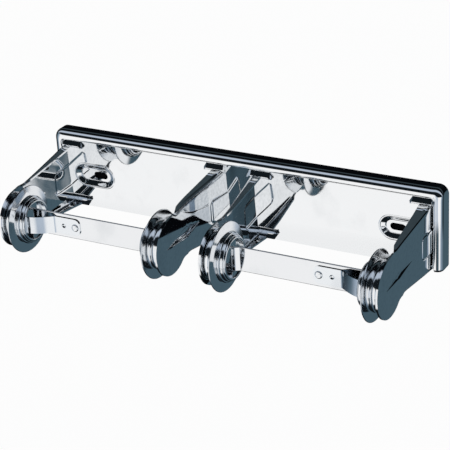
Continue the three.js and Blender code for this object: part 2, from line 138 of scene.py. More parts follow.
def eased(value: float, start: float, end: float) -> float:
    """Rises smoothly from 0 at start to 1 at end.

    Args:
        value: Where to read the curve.
        start: Where the curve is still 0.
        end: Where the curve has reached 1.

    Returns:
        A share from 0 to 1.
    """
    t = min(max((value - start) / (end - start), 0.0), 1.0)
    return t * t * (3 - 2 * t)


def arc(centre: Flat, radius: float, start: float, end: float, steps: int) -> list[Flat]:
    """Points along a circular arc.

    Args:
        centre: The arc's centre.
        radius: The arc's radius.
        start: First angle in degrees.
        end: Last angle in degrees.
        steps: How many spans the arc has.

    Returns:
        The points, first and last included.
    """
    points = []
    for i in range(steps + 1):
        turn = math.radians(start + (end - start) * i / steps)
        points.append((centre[0] + radius * math.cos(turn), centre[1] + radius * math.sin(turn)))
    return points


def stadium(centre: Flat, length: float, height: float, steps: int = 20) -> list[Flat]:
    """The outline of a long hole with round ends.

    Args:
        centre: The middle of the hole.
        length: Its whole length along X.
        height: Its height, which is also its ends' diameter.
        steps: Spans in each round end.

    Returns:
        The outline's points in order.
    """
    radius = height / 2
    half = length / 2 - radius
    right = arc((centre[0] + half, centre[1]), radius, -90, 90, steps)
    left = arc((centre[0] - half, centre[1]), radius, 90, 270, steps)
    return right + left


def through(points: Sequence[Flat], spans: int) -> list[Flat]:
    """A smooth curve through points, even in parameter between each pair.

    Args:
        points: The points that the curve passes through.
        spans: Spans between each pair of points.

    Returns:
        The curve's points.
    """
    whole = [points[0], *points, points[-1]]
    curve = []
    for k in range(1, len(whole) - 2):
        before, here, there, after = (Vector(p) for p in whole[k - 1:k + 3])
        for i in range(spans):
            t = i / spans
            bend = (there - before) * t + (2 * before - 5 * here + 4 * there - after) * t * t
            bend += (3 * here - before - 3 * there + after) * t * t * t
            curve.append(tuple(here + bend / 2))
    curve.append(tuple(points[-1]))
    return curve


def within(spot: Sequence[float], loop: Sequence[Sequence[float]]) -> bool:
    """Whether a point lies inside a closed outline.

    Args:
        spot: The point.
        loop: The outline's points in order.

    Returns:
        True inside, found by counting the edges to the point's right.
    """
    x, y = spot[0], spot[1]
    odd = False
    for a, b in zip(loop, [*loop[1:], loop[0]]):
        if (a[1] > y) != (b[1] > y) and x < a[0] + (y - a[1]) * (b[0] - a[0]) / (b[1] - a[1]):
            odd = not odd
    return odd


def along(line: Sequence[Flat], where: float) -> float:
    """Height of a line of straight runs.

    Args:
        line: The line's corners, with their first value growing.
        where: First value to read the line at.

    Returns:
        The second value there.
    """
    for (x0, z0), (x1, z1) in zip(line, line[1:]):
        if where <= x1:
            return z0 + (z1 - z0) * (where - x0) / (x1 - x0)
    return line[-1][1]


def rounded(corners: Sequence[Flat], radius: float, steps: int = 4) -> list[Flat]:
    """An open line of straight runs with its inner corners rounded.

    Args:
        corners: The line's ends and corners.
        radius: Radius of each bend.
        steps: Spans in each bend.

    Returns:
        The line's points.
    """
    line = [tuple(corners[0])]
    for before, corner, after in zip(corners, corners[1:], corners[2:]):
        here = Vector(corner)
        back = (Vector(before) - here).normalized()
        ahead = (Vector(after) - here).normalized()
        reach = radius / math.tan(max(back.angle(ahead), SHARPEST_CORNER) / 2)
        start, end = here + back * reach, here + ahead * reach
        for i in range(steps + 1):
            t = i / steps
            line.append(tuple(start * (1 - t) ** 2 + here * 2 * t * (1 - t) + end * t * t))
    line.append(tuple(corners[-1]))
    return line


def triangulated(spots: Sequence[Vector], edges: Sequence[tuple[int, int]]
                 ) -> tuple[list[Vector], list[list[int]], list[list[int]]]:
    """Fills the area inside edges with triangles.

    Args:
        spots: Flat points.
        edges: Pairs of point numbers that the triangles keep to.

    Returns:
        The points, the triangles' point numbers, and the given points that each point stands for.
    """
    points, _, triangles, sources, *_ = delaunay_2d_cdt(spots, edges, [], INSIDE_ONLY, WELD_MM)
    return points, triangles, sources


@dataclass
class Skin:
    """Points in millimetres and the faces between them, gathered for one mesh."""

    points: list[Vector] = field(default_factory=list)
    faces: list[tuple[int, ...]] = field(default_factory=list)

    def row(self, points: Iterable[Sequence[float]]) -> list[int]:
        """Adds a row of points.

        Args:
            points: The points in order.

        Returns:
            Their numbers in this skin.
        """
        start = len(self.points)
        self.points.extend(Vector(p) for p in points)
        return list(range(start, len(self.points)))

    def strip(self, first: Sequence[int], second: Sequence[int], ring: bool = False) -> None:
        """Joins two rows of the same length with four-sided faces.

        Args:
            first: One row's point numbers.
            second: The other row's point numbers.
            ring: Whether the rows close on themselves.
        """
        count = len(first)
        for i in range(count if ring else count - 1):
            j = (i + 1) % count
            self.faces.append((first[i], first[j], second[j], second[i]))

    def sheet(self, rows: Sequence[Sequence[int]], ring: bool = False) -> None:
        """Joins rows of the same length, each to the next.

        Args:
            rows: The rows' point numbers.
            ring: Whether each row closes on itself.
        """
        for first, second in zip(rows, rows[1:]):
            self.strip(first, second, ring)

    def fill(self, *loops: Sequence[int]) -> None:
        """Fills a flat outline, leaving out any further loops as holes.

        Args:
            *loops: Point numbers of the outline, then of each hole.
        """
        numbers = [i for loop in loops for i in loop]
        first = [self.points[i] for i in loops[0]]
        normal = Vector()
        for here, there in zip(first, first[1:] + first[:1]):
            normal += here.cross(there)
        turn = normal.normalized().rotation_difference(Vector((0, 0, 1))).to_matrix()
        spots = [(turn @ self.points[i]).to_2d() for i in numbers]
        edges, outlines, start = [], [], 0
        for loop in loops:
            count = len(loop)
            edges += [(start + i, start + (i + 1) % count) for i in range(count)]
            outlines.append(spots[start:start + count])
            start += count
        points, triangles, sources = triangulated(spots, edges)
        kept = [numbers[given[0]] for given in sources]
        for corners in triangles:
            middle = sum((points[i] for i in corners), Vector((0, 0))) / len(corners)
            if not any(within(middle, hole) for hole in outlines[1:]):
                self.faces.append(tuple(kept[i] for i in corners))

    def slab(self, outline: Sequence[Flat], place: Callable[[Flat, int], Point]) -> None:
        """Adds a closed plate with an outline and two faces.

        Args:
            outline: The plate's outline.
            place: Gives a point from an outline point and 0 or 1 for the face.
        """
        near = self.row(place(p, 0) for p in outline)
        far = self.row(place(p, 1) for p in outline)
        self.strip(near, far, ring=True)
        self.fill(near)
        self.fill(far)

    def object(self, name: str, facing: Optional[Point] = None) -> bpy.types.Object:
        """Makes the mesh object, with doubles merged and faces turned outward.

        Args:
            name: The object's name.
            facing: For an open skin, the direction that most of it faces.

        Returns:
            The new object, at the origin.
        """
        work = bmesh.new()
        corners = [work.verts.new(p * MM) for p in self.points]
        for numbers in self.faces:
            if len(set(numbers)) == len(numbers):
                try:
                    work.faces.new([corners[i] for i in numbers])
                except ValueError:
                    # The same face is already there.
                    continue
        bmesh.ops.remove_doubles(work, verts=work.verts, dist=MERGE_METRES)
        bmesh.ops.dissolve_degenerate(work, edges=work.edges, dist=SLIVER_METRES)
        loose = [v for v in work.verts if not v.link_faces]
        bmesh.ops.delete(work, geom=loose, context="VERTS")
        bmesh.ops.recalc_face_normals(work, faces=work.faces)
        if facing is not None:
            ahead = Vector(facing)
            if sum(f.normal.dot(ahead) * f.calc_area() for f in work.faces) < 0:
                bmesh.ops.reverse_faces(work, faces=work.faces)
        mesh = bpy.data.meshes.new(name)
        work.to_mesh(mesh)
        work.free()
        made = bpy.data.objects.new(name, mesh)
        bpy.context.scene.collection.objects.link(made)
        return made


def settle(piece: bpy.types.Object) -> bpy.types.Object:
    """Turns a piece's modifiers into its own plain mesh.

    Args:
        piece: The object to settle.

    Returns:
        The same object, with no modifiers.
    """
    bpy.context.view_layer.update()
    graph = bpy.context.evaluated_depsgraph_get()
    result = piece.evaluated_get(graph)
    mesh = bpy.data.meshes.new_from_object(result, preserve_all_data_layers=True, depsgraph=graph)
    worn = piece.data
    piece.modifiers.clear()
    piece.data = mesh
    bpy.data.meshes.remove(worn)
    mesh.name = piece.name
    return piece


def soften(piece: bpy.types.Object, width: float, sheet: float = 0.0) -> bpy.types.Object:
    """Gives a piece its sheet thickness and small rounded edges, with its flats kept flat.

    Args:
        piece: The object to finish.
        width: How much of each sharp edge is rounded, in millimetres.
        sheet: Thickness to add behind an open skin, or 0 for a closed one.

    Returns:
        The same object, with a plain mesh.
    """
    piece.data.shade_smooth()
    if sheet > 0:
        wall = piece.modifiers.new("sheet", "SOLIDIFY")
        wall.thickness = sheet * MM
        wall.offset = -1
        wall.use_even_offset = True
    edge = piece.modifiers.new("edge", "BEVEL")
    edge.width = width * MM
    edge.segments = EDGE_SPANS
    edge.limit_method = "ANGLE"
    edge.angle_limit = math.radians(EDGE_DEGREES)
    edge.use_clamp_overlap = True
    edge.harden_normals = True
    return settle(piece)


@dataclass
class NodeBench:
    """A node tree being wired."""

    tree: bpy.types.NodeTree

    @classmethod
    def cleared(cls, owner: Union[bpy.types.Material, bpy.types.World]) -> "NodeBench":
        """Opens the tree of a material or world with no nodes in it.

        Args:
            owner: The material or world.

        Returns:
            The bench to wire it on.
        """
        owner.use_nodes = True
        owner.node_tree.nodes.clear()
        return cls(owner.node_tree)

    def add(self, kind: str, values: Optional[dict[str, object]] = None,
            **settings: object) -> bpy.types.Node:
        """Adds a node.

        Args:
            kind: The node's type.
            values: Input values by input name.
            **settings: Properties of the node.

        Returns:
            The new node.
        """
        node = self.tree.nodes.new(kind)
        for name, value in settings.items():
            setattr(node, name, value)
        for name, value in (values or {}).items():
            node.inputs[name].default_value = value
        return node

    def wire(self, source: bpy.types.NodeSocket, target: bpy.types.NodeSocket) -> None:
        """Links an output to an input."""
        self.tree.links.new(source, target)

    def math(self, operation: str, first: Feed, second: Optional[Feed] = None,
             third: Optional[Feed] = None) -> bpy.types.NodeSocket:
        """Adds a math node.

        Args:
            operation: The node's operation.
            first: A socket or a number.
            second: A socket or a number, where the operation has one.
            third: A socket or a number, where the operation has one.

        Returns:
            The node's output.
        """
        node = self.add("ShaderNodeMath", operation=operation)
        for i, value in enumerate((first, second, third)):
            if isinstance(value, bpy.types.NodeSocket):
                self.wire(value, node.inputs[i])
            elif value is not None:
                node.inputs[i].default_value = value
        return node.outputs[0]

    def ramp(self, value: bpy.types.NodeSocket, low: float, high: float,
             to: Flat = (0.0, 1.0)) -> bpy.types.NodeSocket:
        """Maps a value smoothly from one range to another.

        Args:
            value: The socket to read.
            low: Value that gives the first result.
            high: Value that gives the second result.
            to: The two results.

        Returns:
            The mapped output.
        """
        node = self.add("ShaderNodeMapRange", interpolation_type="SMOOTHSTEP")
        self.wire(value, node.inputs["Value"])
        node.inputs["From Min"].default_value = low
        node.inputs["From Max"].default_value = high
        node.inputs["To Min"].default_value = to[0]
        node.inputs["To Max"].default_value = to[1]
        return node.outputs["Result"]

    def blend(self, share: bpy.types.NodeSocket, first: Shade,
              second: Shade) -> bpy.types.NodeSocket:
        """Mixes two colours.

        Args:
            share: Socket that gives the second colour's share.
            first: A colour or a colour socket.
            second: A colour or a colour socket.

        Returns:
            The mixed colour.
        """
        node = self.add("ShaderNodeMix", data_type="RGBA")
        self.wire(share, node.inputs[0])
        for number, value in zip(COLOUR_INPUTS, (first, second)):
            if isinstance(value, bpy.types.NodeSocket):
                self.wire(value, node.inputs[number])
            else:
                node.inputs[number].default_value = (*value, 1.0)
        return node.outputs[COLOUR_OUTPUT]

    def surface(self, share: bpy.types.NodeSocket, first: bpy.types.Node,
                second: bpy.types.Node) -> None:
        """Mixes two shaders into the surface of a material.

        Args:
            share: Socket that gives the second shader's share.
            first: One shader's node.
            second: The other shader's node.
        """
        mix = self.add("ShaderNodeMixShader")
        self.wire(share, mix.inputs[0])
        self.wire(first.outputs[0], mix.inputs[1])
        self.wire(second.outputs[0], mix.inputs[2])
        self.wire(mix.outputs[0], self.add("ShaderNodeOutputMaterial").inputs["Surface"])


@dataclass(frozen=True)
class Finish:
    """A plated or bare metal surface: its colour, shine, sheet waves, scuffs and worn edges."""

    name: str
    slot: Slot
    tint: Colour
    dulled: Colour
    shine: float
    haze: float
    wave_mm: float
    wave_span_mm: float
    scuff_mm: float
    scuff_span_mm: float
    edge_wear: float
    mottle: float = 0.0
    patch_span_mm: float = 1000 / 42
    patch_stretch: Point = (1, 1.6, 0.8)
    patch_limits: Flat = (0.5, 0.78)
    patch_dulls: float = 0.55
    speck_span_mm: float = 1000 / 420
    speck_limits: Flat = (0.42, 0.66)
    scuff_stretch: Point = (0.12, 1, 1)
    scuff_limits: Flat = (0.62, 0.8)
    scuff_rough: float = 0.05
    edge_limits: Flat = (0.53, 0.62)
    edge_rough: float = 0.22

    def material(self) -> bpy.types.Material:
        """Builds the finish once.

        Returns:
            The material, made at the first call.
        """
        found = bpy.data.materials.get(self.name)
        if found is not None:
            return found
        made = bpy.data.materials.new(self.name)
        bench = NodeBench.cleared(made)
        shader = bench.add("ShaderNodeBsdfPrincipled", {"Metallic": 1.0})
        out = bench.add("ShaderNodeOutputMaterial")
        bench.wire(shader.outputs["BSDF"], out.inputs["Surface"])
        where = bench.add("ShaderNodeTexCoord").outputs["Object"]
        wave = self._noise(bench, where, self.wave_span_mm, detail=1.5)
        patch = self._noise(bench, where, self.patch_span_mm, 4.0, self.patch_stretch)
        scuff = self._noise(bench, where, self.scuff_span_mm, 3.0, self.scuff_stretch)
        edge = bench.add("ShaderNodeNewGeometry").outputs["Pointiness"]
        worn = bench.ramp(edge, *self.edge_limits, to=(0.0, self.edge_wear))
        haze = bench.ramp(patch, *self.patch_limits)
        dull = bench.math("MAXIMUM", bench.math("MULTIPLY", haze, self.patch_dulls), worn)
        if self.mottle > 0:
            speck = self._noise(bench, where, self.speck_span_mm, detail=3.0)
            specks = bench.ramp(speck, *self.speck_limits)
            dull = bench.math("MULTIPLY_ADD", specks, self.mottle, dull)
        bench.wire(bench.blend(dull, self.tint, self.dulled), shader.inputs["Base Color"])
        rough = bench.math("MULTIPLY_ADD", haze, self.haze, self.shine)
        rough = bench.math("MULTIPLY_ADD", worn, self.edge_rough, rough)
        scuffs = bench.ramp(scuff, *self.scuff_limits)
        rough = bench.math("MULTIPLY_ADD", scuffs, self.scuff_rough, rough)
        bench.wire(rough, shader.inputs["Roughness"])
        slow = bench.add("ShaderNodeBump", {"Strength": 1.0, "Distance": self.wave_mm * MM})
        bench.wire(wave, slow.inputs["Height"])
        fine = bench.add("ShaderNodeBump", {"Strength": 1.0, "Distance": self.scuff_mm * MM})
        bench.wire(scuff, fine.inputs["Height"])
        bench.wire(slow.outputs["Normal"], fine.inputs["Normal"])
        bench.wire(fine.outputs["Normal"], shader.inputs["Normal"])
        return made

    @staticmethod
    def _noise(bench: NodeBench, where: bpy.types.NodeSocket, span_mm: float, detail: float,
               stretch: Point = (1, 1, 1)) -> bpy.types.NodeSocket:
        """Adds a noise pattern fixed to the piece.

        Args:
            bench: The tree being wired.
            where: The coordinates to read.
            span_mm: Length of one repeat, in millimetres.
            detail: Layers of finer noise.
            stretch: Scale along each axis.

        Returns:
            The pattern's value.
        """
        turn = bench.add("ShaderNodeMapping", {"Scale": stretch})
        bench.wire(where, turn.inputs["Vector"])
        repeats = 1000 / span_mm
        noise = bench.add("ShaderNodeTexNoise", {"Scale": repeats, "Detail": detail})
        bench.wire(turn.outputs["Vector"], noise.inputs["Vector"])
        return noise.outputs[0]

    def dress(self, piece: bpy.types.Object) -> None:
        """Puts the finish on a piece in place of any other."""
        piece.data.materials.clear()
        piece.data.materials.append(self.material())


PRESSED_CHROME = Finish(
    "pressed_chrome", Slot.CHROME, tint=(0.86, 0.875, 0.89), dulled=(0.7, 0.72, 0.74), shine=0.035,
    haze=0.05, wave_mm=0.16, wave_span_mm=34.0, scuff_mm=0.0002, scuff_span_mm=1.6,
    edge_wear=0.35, mottle=0.45)
PANEL_CHROME = Finish(
    "panel_chrome", Slot.CHROME, tint=(0.88, 0.89, 0.9), dulled=(0.76, 0.775, 0.79), shine=0.03,
    haze=0.05, wave_mm=0.05, wave_span_mm=46.0, scuff_mm=0.00015, scuff_span_mm=1.8,
    edge_wear=0.3)
TURNED_CHROME = Finish(
    "turned_chrome", Slot.CHROME, tint=(0.86, 0.875, 0.89), dulled=(0.68, 0.7, 0.72), shine=0.09,
    haze=0.04, wave_mm=0.001, wave_span_mm=24.0, scuff_mm=0.0001, scuff_span_mm=1.2,
    edge_wear=0.3)
BAR_CHROME = Finish(
    "bar_chrome", Slot.CHROME, tint=(0.84, 0.85, 0.865), dulled=(0.7, 0.72, 0.74), shine=0.05,
    haze=0.07, wave_mm=0.006, wave_span_mm=30.0, scuff_mm=0.0003, scuff_span_mm=1.4,
    edge_wear=0.35)
SPRING_CHROME = Finish(
    "spring_chrome", Slot.SPRING, tint=(0.82, 0.845, 0.87), dulled=(0.66, 0.69, 0.72), shine=0.07,
    haze=0.08, wave_mm=0.004, wave_span_mm=18.0, scuff_mm=0.0004, scuff_span_mm=1.1,
    edge_wear=0.4)
RIVET_STEEL = Finish(
    "rivet_steel", Slot.STEEL, tint=(0.84, 0.855, 0.87), dulled=(0.6, 0.61, 0.62), shine=0.1,
    haze=0.1, wave_mm=0.002, wave_span_mm=3.0, scuff_mm=0.0004, scuff_span_mm=0.7,
    edge_wear=0.5)


@dataclass
class NodeTool(ABC):
    """A geometry node tree, wired at its first use, that makes pieces from points."""

    tree: Optional[bpy.types.NodeTree] = field(default=None, init=False)
    inputs: dict[str, str] = field(default_factory=dict, init=False)

    @abstractmethod
    def build(self) -> None:
        """Wires the tree."""

    def _open(self, name: str, inputs: dict[str, str]) -> NodeBench:
        """Starts the tree with its inputs and its one output.

        Args:
            name: The tree's name.
            inputs: The kind of each input by its name, with the points first.

        Returns:
            The bench to wire it on.
        """
        self.tree = bpy.data.node_groups.new(name, "GeometryNodeTree")
        for label, kind in inputs.items():
            made = self.tree.interface.new_socket(
                name=label, in_out="INPUT", socket_type=f"NodeSocket{kind}")
            self.inputs[label] = made.identifier
        self.tree.interface.new_socket(
            name="Piece", in_out="OUTPUT", socket_type="NodeSocketGeometry")
        return NodeBench(self.tree)

    @staticmethod
    def _close(bench: NodeBench, shape: bpy.types.NodeSocket,
               finish: bpy.types.NodeSocket) -> None:
        """Ends the tree: makes the shape plain and gives it its finish.

        Args:
            bench: The tree being wired.
            shape: The shape so far.
            finish: The finish's input.
        """
        plain = bench.add("GeometryNodeRealizeInstances")
        bench.wire(shape, plain.inputs["Geometry"])
        dressed = bench.add("GeometryNodeSetMaterial")
        bench.wire(plain.outputs[0], dressed.inputs["Geometry"])
        bench.wire(finish, dressed.inputs["Material"])
        bench.wire(dressed.outputs[0], bench.add("NodeGroupOutput").inputs[0])

    def _run(self, name: str, points: Sequence[Point],
             values: dict[str, object]) -> bpy.types.Object:
        """Runs the tree on points.

        Args:
            name: The piece's name.
            points: The points in millimetres.
            values: Values of the other inputs by name.

        Returns:
            The piece, with a plain mesh.
        """
        if self.tree is None:
            self.build()
        mesh = bpy.data.meshes.new(name)
        mesh.from_pydata([tuple(c * MM for c in point) for point in points], [], [])
        piece = bpy.data.objects.new(name, mesh)
        bpy.context.scene.collection.objects.link(piece)
        run = piece.modifiers.new("nodes", "NODES")
        run.node_group = self.tree
        for label, value in values.items():
            run[self.inputs[label]] = value
        return settle(piece)


@dataclass
class Lathe(NodeTool):
    """Turns profiles about an axis along X with geometry nodes."""

    segments: int = 96

    def build(self) -> None:
        """Wires the tree: a grid is bent round the axis, one row for each profile point."""
        bench = self._open("turned_piece", {
            "Profile": "Geometry", "Segments": "Int", "Axis Y": "Float", "Axis Z": "Float",
            "Finish": "Material"})
        given = bench.add("NodeGroupInput").outputs
        size = bench.add("GeometryNodeAttributeDomainSize", component="MESH")
        bench.wire(given["Profile"], size.inputs["Geometry"])
        count = size.outputs["Point Count"]
        grid = bench.add("GeometryNodeMeshGrid", {"Size X": 1.0, "Size Y": 1.0})
        bench.wire(count, grid.inputs["Vertices X"])
        bench.wire(bench.math("ADD", given["Segments"], 1.0), grid.inputs["Vertices Y"])
        spot = bench.add("GeometryNodeInputPosition").outputs[0]
        part = bench.add("ShaderNodeSeparateXYZ")
        bench.wire(spot, part.inputs[0])
        along_profile = bench.math("MULTIPLY", bench.math("ADD", part.outputs["X"], 0.5),
                                   bench.math("SUBTRACT", count, 1.0))
        number = bench.add("FunctionNodeFloatToInt", rounding_mode="ROUND")
        bench.wire(along_profile, number.inputs[0])
        turn = bench.math("MULTIPLY", bench.math("ADD", part.outputs["Y"], 0.5), 2 * math.pi)
        sample = bench.add("GeometryNodeSampleIndex", data_type="FLOAT_VECTOR", domain="POINT")
        bench.wire(given["Profile"], sample.inputs["Geometry"])
        bench.wire(spot, sample.inputs["Value"])
        bench.wire(number.outputs[0], sample.inputs["Index"])
        read = bench.add("ShaderNodeSeparateXYZ")
        bench.wire(sample.outputs[0], read.inputs[0])
        place = bench.add("ShaderNodeCombineXYZ")
        bench.wire(read.outputs["X"], place.inputs["X"])
        for letter, wave in (("Y", "COSINE"), ("Z", "SINE")):
            swing = bench.math("MULTIPLY_ADD", read.outputs["Y"], bench.math(wave, turn),
                               given[f"Axis {letter}"])
            bench.wire(swing, place.inputs[letter])
        moved = bench.add("GeometryNodeSetPosition")
        bench.wire(grid.outputs["Mesh"], moved.inputs["Geometry"])
        bench.wire(place.outputs[0], moved.inputs["Position"])
        merged = bench.add("GeometryNodeMergeByDistance", {"Distance": MERGE_METRES})
        bench.wire(moved.outputs[0], merged.inputs["Geometry"])
        self._close(bench, merged.outputs[0], given["Finish"])

    def turn(self, name: str, profile: Sequence[Flat], axis: Flat, finish: Finish,
             segments: int = 0) -> bpy.types.Object:
        """Turns one profile.

        Args:
            name: The piece's name.
            profile: Points of distance along X and radius, in millimetres.
            axis: The axis's Y and Z, in millimetres.
            finish: The piece's finish.
            segments: Faces round the axis, or 0 for the lathe's own number.

        Returns:
            The turned piece, with a plain mesh.
        """
        piece = self._run(name, [(x, r, 0.0) for x, r in profile], {
            "Segments": segments or self.segments, "Axis Y": axis[0] * MM, "Axis Z": axis[1] * MM,
            "Finish": finish.material()})
        work = bmesh.new()
        work.from_mesh(piece.data)
        bmesh.ops.dissolve_degenerate(work, edges=work.edges, dist=SLIVER_METRES)
        bmesh.ops.recalc_face_normals(work, faces=work.faces)
        work.to_mesh(piece.data)
        work.free()
        piece.data.shade_smooth()
        piece.data.set_sharp_from_angle(angle=math.radians(CREASE_DEGREES))
        return piece


@dataclass
class RivetSetter(NodeTool):
    """Sets one rivet shape at many places with geometry nodes."""

    lathe: Lathe
    segments: int = 36

    def build(self) -> None:
        """Wires the tree: the rivet is set on each point and made plain."""
        bench = self._open("rivet_row", {
            "Places": "Geometry", "Rivet": "Object", "Finish": "Material"})
        given = bench.add("NodeGroupInput").outputs
        shape = bench.add("GeometryNodeObjectInfo")
        bench.wire(given["Rivet"], shape.inputs["Object"])
        row = bench.add("GeometryNodeInstanceOnPoints")
        bench.wire(given["Places"], row.inputs["Points"])
        bench.wire(shape.outputs["Geometry"], row.inputs["Instance"])
        self._close(bench, row.outputs[0], given["Finish"])

    def set(self, name: str, profile: Sequence[Flat], places: Sequence[Point],
            finish: Finish) -> bpy.types.Object:
        """Sets rivets that point forward from the wall.

        Args:
            name: The piece's name.
            profile: Points of distance forward from each place and radius.
            places: Where each rivet's line meets the wall plane or the named face.
            finish: The rivets' finish.

        Returns:
            One piece that holds all the rivets.
        """
        shape = self.lathe.turn(f"{name}_shape", profile, (0.0, 0.0), finish, self.segments)
        shape.data.transform(Matrix.Rotation(math.radians(-90), 4, "Z"))
        piece = self._run(name, places, {"Rivet": shape, "Finish": finish.material()})
        bpy.data.objects.remove(shape)
        return piece


def hand_over(piece: bpy.types.Object, body: str, finish: Finish, nodes: Sequence[str]) -> None:
    """Dresses a piece, sets it on its body and lets it stand for its nodes.

    Args:
        piece: The finished piece.
        body: The body that it moves with.
        finish: Its finish.
        nodes: The nodes that it stands for.
    """
    finish.dress(piece)
    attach(piece, body)
    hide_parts(*nodes)
    log.info("%s on %s: %d faces", piece.name, body, len(piece.data.polygons))


@dataclass(frozen=True)
class Layout:
    """Places that the sub-assemblies share."""

    outer_face: float = 156.4
    inner_face: float = 17.3
    inner_root: float = 11.2
    outer_root: float = 158.0
    lean_front: float = 60.0
    arm_rear: float = 7.55
    axis_forward: float = 83.7
    axis_z: float = -11.7
    straight_from: float = 0.85
    straight_span: float = 0.3
    panel_lean: float = 0.0785
    panel_level: float = -4.0

    @property
    def axis(self) -> Flat:
        """The spool axis's Y and Z."""
        return (-self.axis_forward, self.axis_z)

    def leaning(self, height: float) -> float:
        """How far forward the leaning panel is at a height, beside its own middle."""
        return self.panel_lean * (height - self.panel_level)

    def inward(self, place: Place, reach: float, forward: float = PAST_THE_LEAN) -> float:
        """Distance from the plate's middle to a point inside an arm's outer face.

        An arm leans from its root to its face and straightens over a short bend.

        Args:
            place: Which arm of the bay.
            reach: How far the point is into the bay from the arm's outer face.
            forward: How far the point is from the wall.

        Returns:
            The point's X before the bay's sign.
        """
        t = (forward - self.arm_rear) / (self.lean_front - self.arm_rear)
        if t > self.straight_from:
            over = min(t, self.straight_from + self.straight_span) - self.straight_from
            t = self.straight_from + over - over * over / (2 * self.straight_span)
        if place is Place.OUTER:
            return self.outer_root + t * (self.outer_face - self.outer_root) - reach
        return self.inner_root + t * (self.inner_face - self.inner_root) + reach


LAYOUT = Layout()

# A dish's section: first inset in millimetres and share of the bead's height, then shares of the
# dish's spread and depth.
DISH_RIM = ((-2.2, 0.0), (-1.7, 0.0), (-1.2, 0.2), (-0.5, 1.0), (0.2, 0.6))
DISH_BOWL = ((0.2, 0.1), (0.55, 0.56), (0.9, 0.95), (1.1, 1.0), (1.2, 1.0))


@dataclass
class BackPlate:
    """The stamped plate: a raised border on three sides and a dished screw slot at each end."""

    half_width: float = 166.0
    half_height: float = 33.0
    depth: float = 13.0
    sheet: float = 1.2
    border: float = 7.0
    panel: float = 7.5
    corner: float = 7.0
    inner_corner: float = 3.0
    crest: float = 6.0
    crest_run: float = 0.8
    inner_crest: float = 0.6
    fold: float = 0.9
    fold_run: float = 0.6
    corner_run: float = 2.0
    inmost_share: float = 1.2
    end_round: float = 3.5
    dish_x: float = 133.0
    dish_z: float = -4.5
    dish_length: float = 35.5
    dish_height: float = 18.5
    dish_spread: float = 4.25
    dish_deep: float = 2.3
    dish_bead: float = 0.3
    slot_length: float = 12.5
    slot_height: float = 5.8
    slot_inward: float = 4.4
    edge_round: float = 0.4

    def _section(self) -> list[Flat]:
        """The border's section from its outer edge to the panel.

        Returns:
            Points of inset from the outer edge and distance from the wall.
        """
        section = [(0.0, 0.0), (0.0, self.depth - self.crest - self.crest_run)]
        section += arc((self.crest, self.depth - self.crest), self.crest, 180, 90, steps=16)
        flat_to = self.border - self.inner_crest
        section += arc((flat_to, self.depth - self.inner_crest), self.inner_crest, 90, 0, steps=6)
        section.append((self.border, self.panel + self.fold + self.fold_run))
        foot = (self.border + self.fold, self.panel + self.fold)
        section += arc(foot, self.fold, 180, 270, steps=5)
        section.append((self.border + self.fold + self.fold_run, self.panel))
        return section

    def _ring(self, inset: float, forward: float) -> list[Point]:
        """One line of the border, from the bottom left round to the bottom right.

        Args:
            inset: How far the line lies inside the plate's outer edge.
            forward: Its distance from the wall.

        Returns:
            The line's points; where the border falls to the panel they lean with it.
        """
        half, top = self.half_width - inset, self.half_height - inset
        share = min(inset / self.border, self.inmost_share)
        radius = self.corner + share * (self.inner_corner - self.corner)
        quarter = arc((half - radius, top - radius), radius, 0, 90, steps=10)
        proud = max(forward - self.panel, 0.0) / (self.depth - self.panel)
        fall = 1 - min(proud, 1.0) if inset > self.border - self.inner_crest else 0.0
        right = []
        end = self.end_round
        for back, rise in arc((end, end), end, 270, 180, steps=6):
            right.append((half - back * max(1 - share, 0.0), forward - back * proud,
                          rise - self.half_height))
        run = radius + self.corner_run
        around = [(half, top - run), *quarter, (half - run, top)]
        right += [(x, forward, z) for x, z in around]
        whole = [(-x, out, z) for x, out, z in right] + list(reversed(right))
        return [(x, -out - fall * LAYOUT.leaning(z), z) for x, out, z in whole]

    def _dish(self, skin: Skin, middle: float) -> list[int]:
        """Adds one dish with its slot.

        Args:
            skin: The plate's skin.
            middle: The dish's X.

        Returns:
            The outermost ring, which the panel meets.
        """
        section = [(inset, -rise * self.dish_bead) for inset, rise in DISH_RIM]
        section += [(out * self.dish_spread, sunk * self.dish_deep) for out, sunk in DISH_BOWL]
        rings = []
        for inset, sunk in through(section, spans=3):
            outline = stadium((middle, self.dish_z), self.dish_length - 2 * inset,
                              self.dish_height - 2 * inset)
            rings.append(skin.row(
                (x, sunk - self.panel - LAYOUT.leaning(z), z) for x, z in outline))
        skin.sheet(rings, ring=True)
        slot_x = middle - math.copysign(self.slot_inward, middle)
        slot = stadium((slot_x, self.dish_z), self.slot_length, self.slot_height)
        floor = self.panel - self.dish_deep
        skin.fill(rings[-1], skin.row((x, -floor - LAYOUT.leaning(z), z) for x, z in slot))
        return rings[0]

    def build(self) -> bpy.types.Object:
        """Builds the plate as one sheet.

        Returns:
            The plate's object.
        """
        skin = Skin()
        rings = [skin.row(self._ring(*spot)) for spot in self._section()]
        skin.sheet(rings)
        dishes = [self._dish(skin, way * self.dish_x) for way in (-1, 1)]
        skin.fill(rings[-1], *dishes)
        left = [ring[0] for ring in rings]
        right = [ring[-1] for ring in reversed(rings)]
        skin.fill(left + right)
        plate = skin.object("plate", facing=FORWARD)
        return soften(plate, self.edge_round, self.sheet)

    def dress(self, plate: bpy.types.Object) -> None:
        """Finishes the plate and sets it on the frame."""
        hand_over(plate, Body.FRAME.value, PANEL_CHROME, ["back_plate"])


@dataclass(frozen=True)
class TabShape:
    """One foot tab's outline, beside its base line and the feet's reach."""

    tall: float
    tip_out: float
    tip_rise: float
    under_short: float
    over_short: float
    crest: float


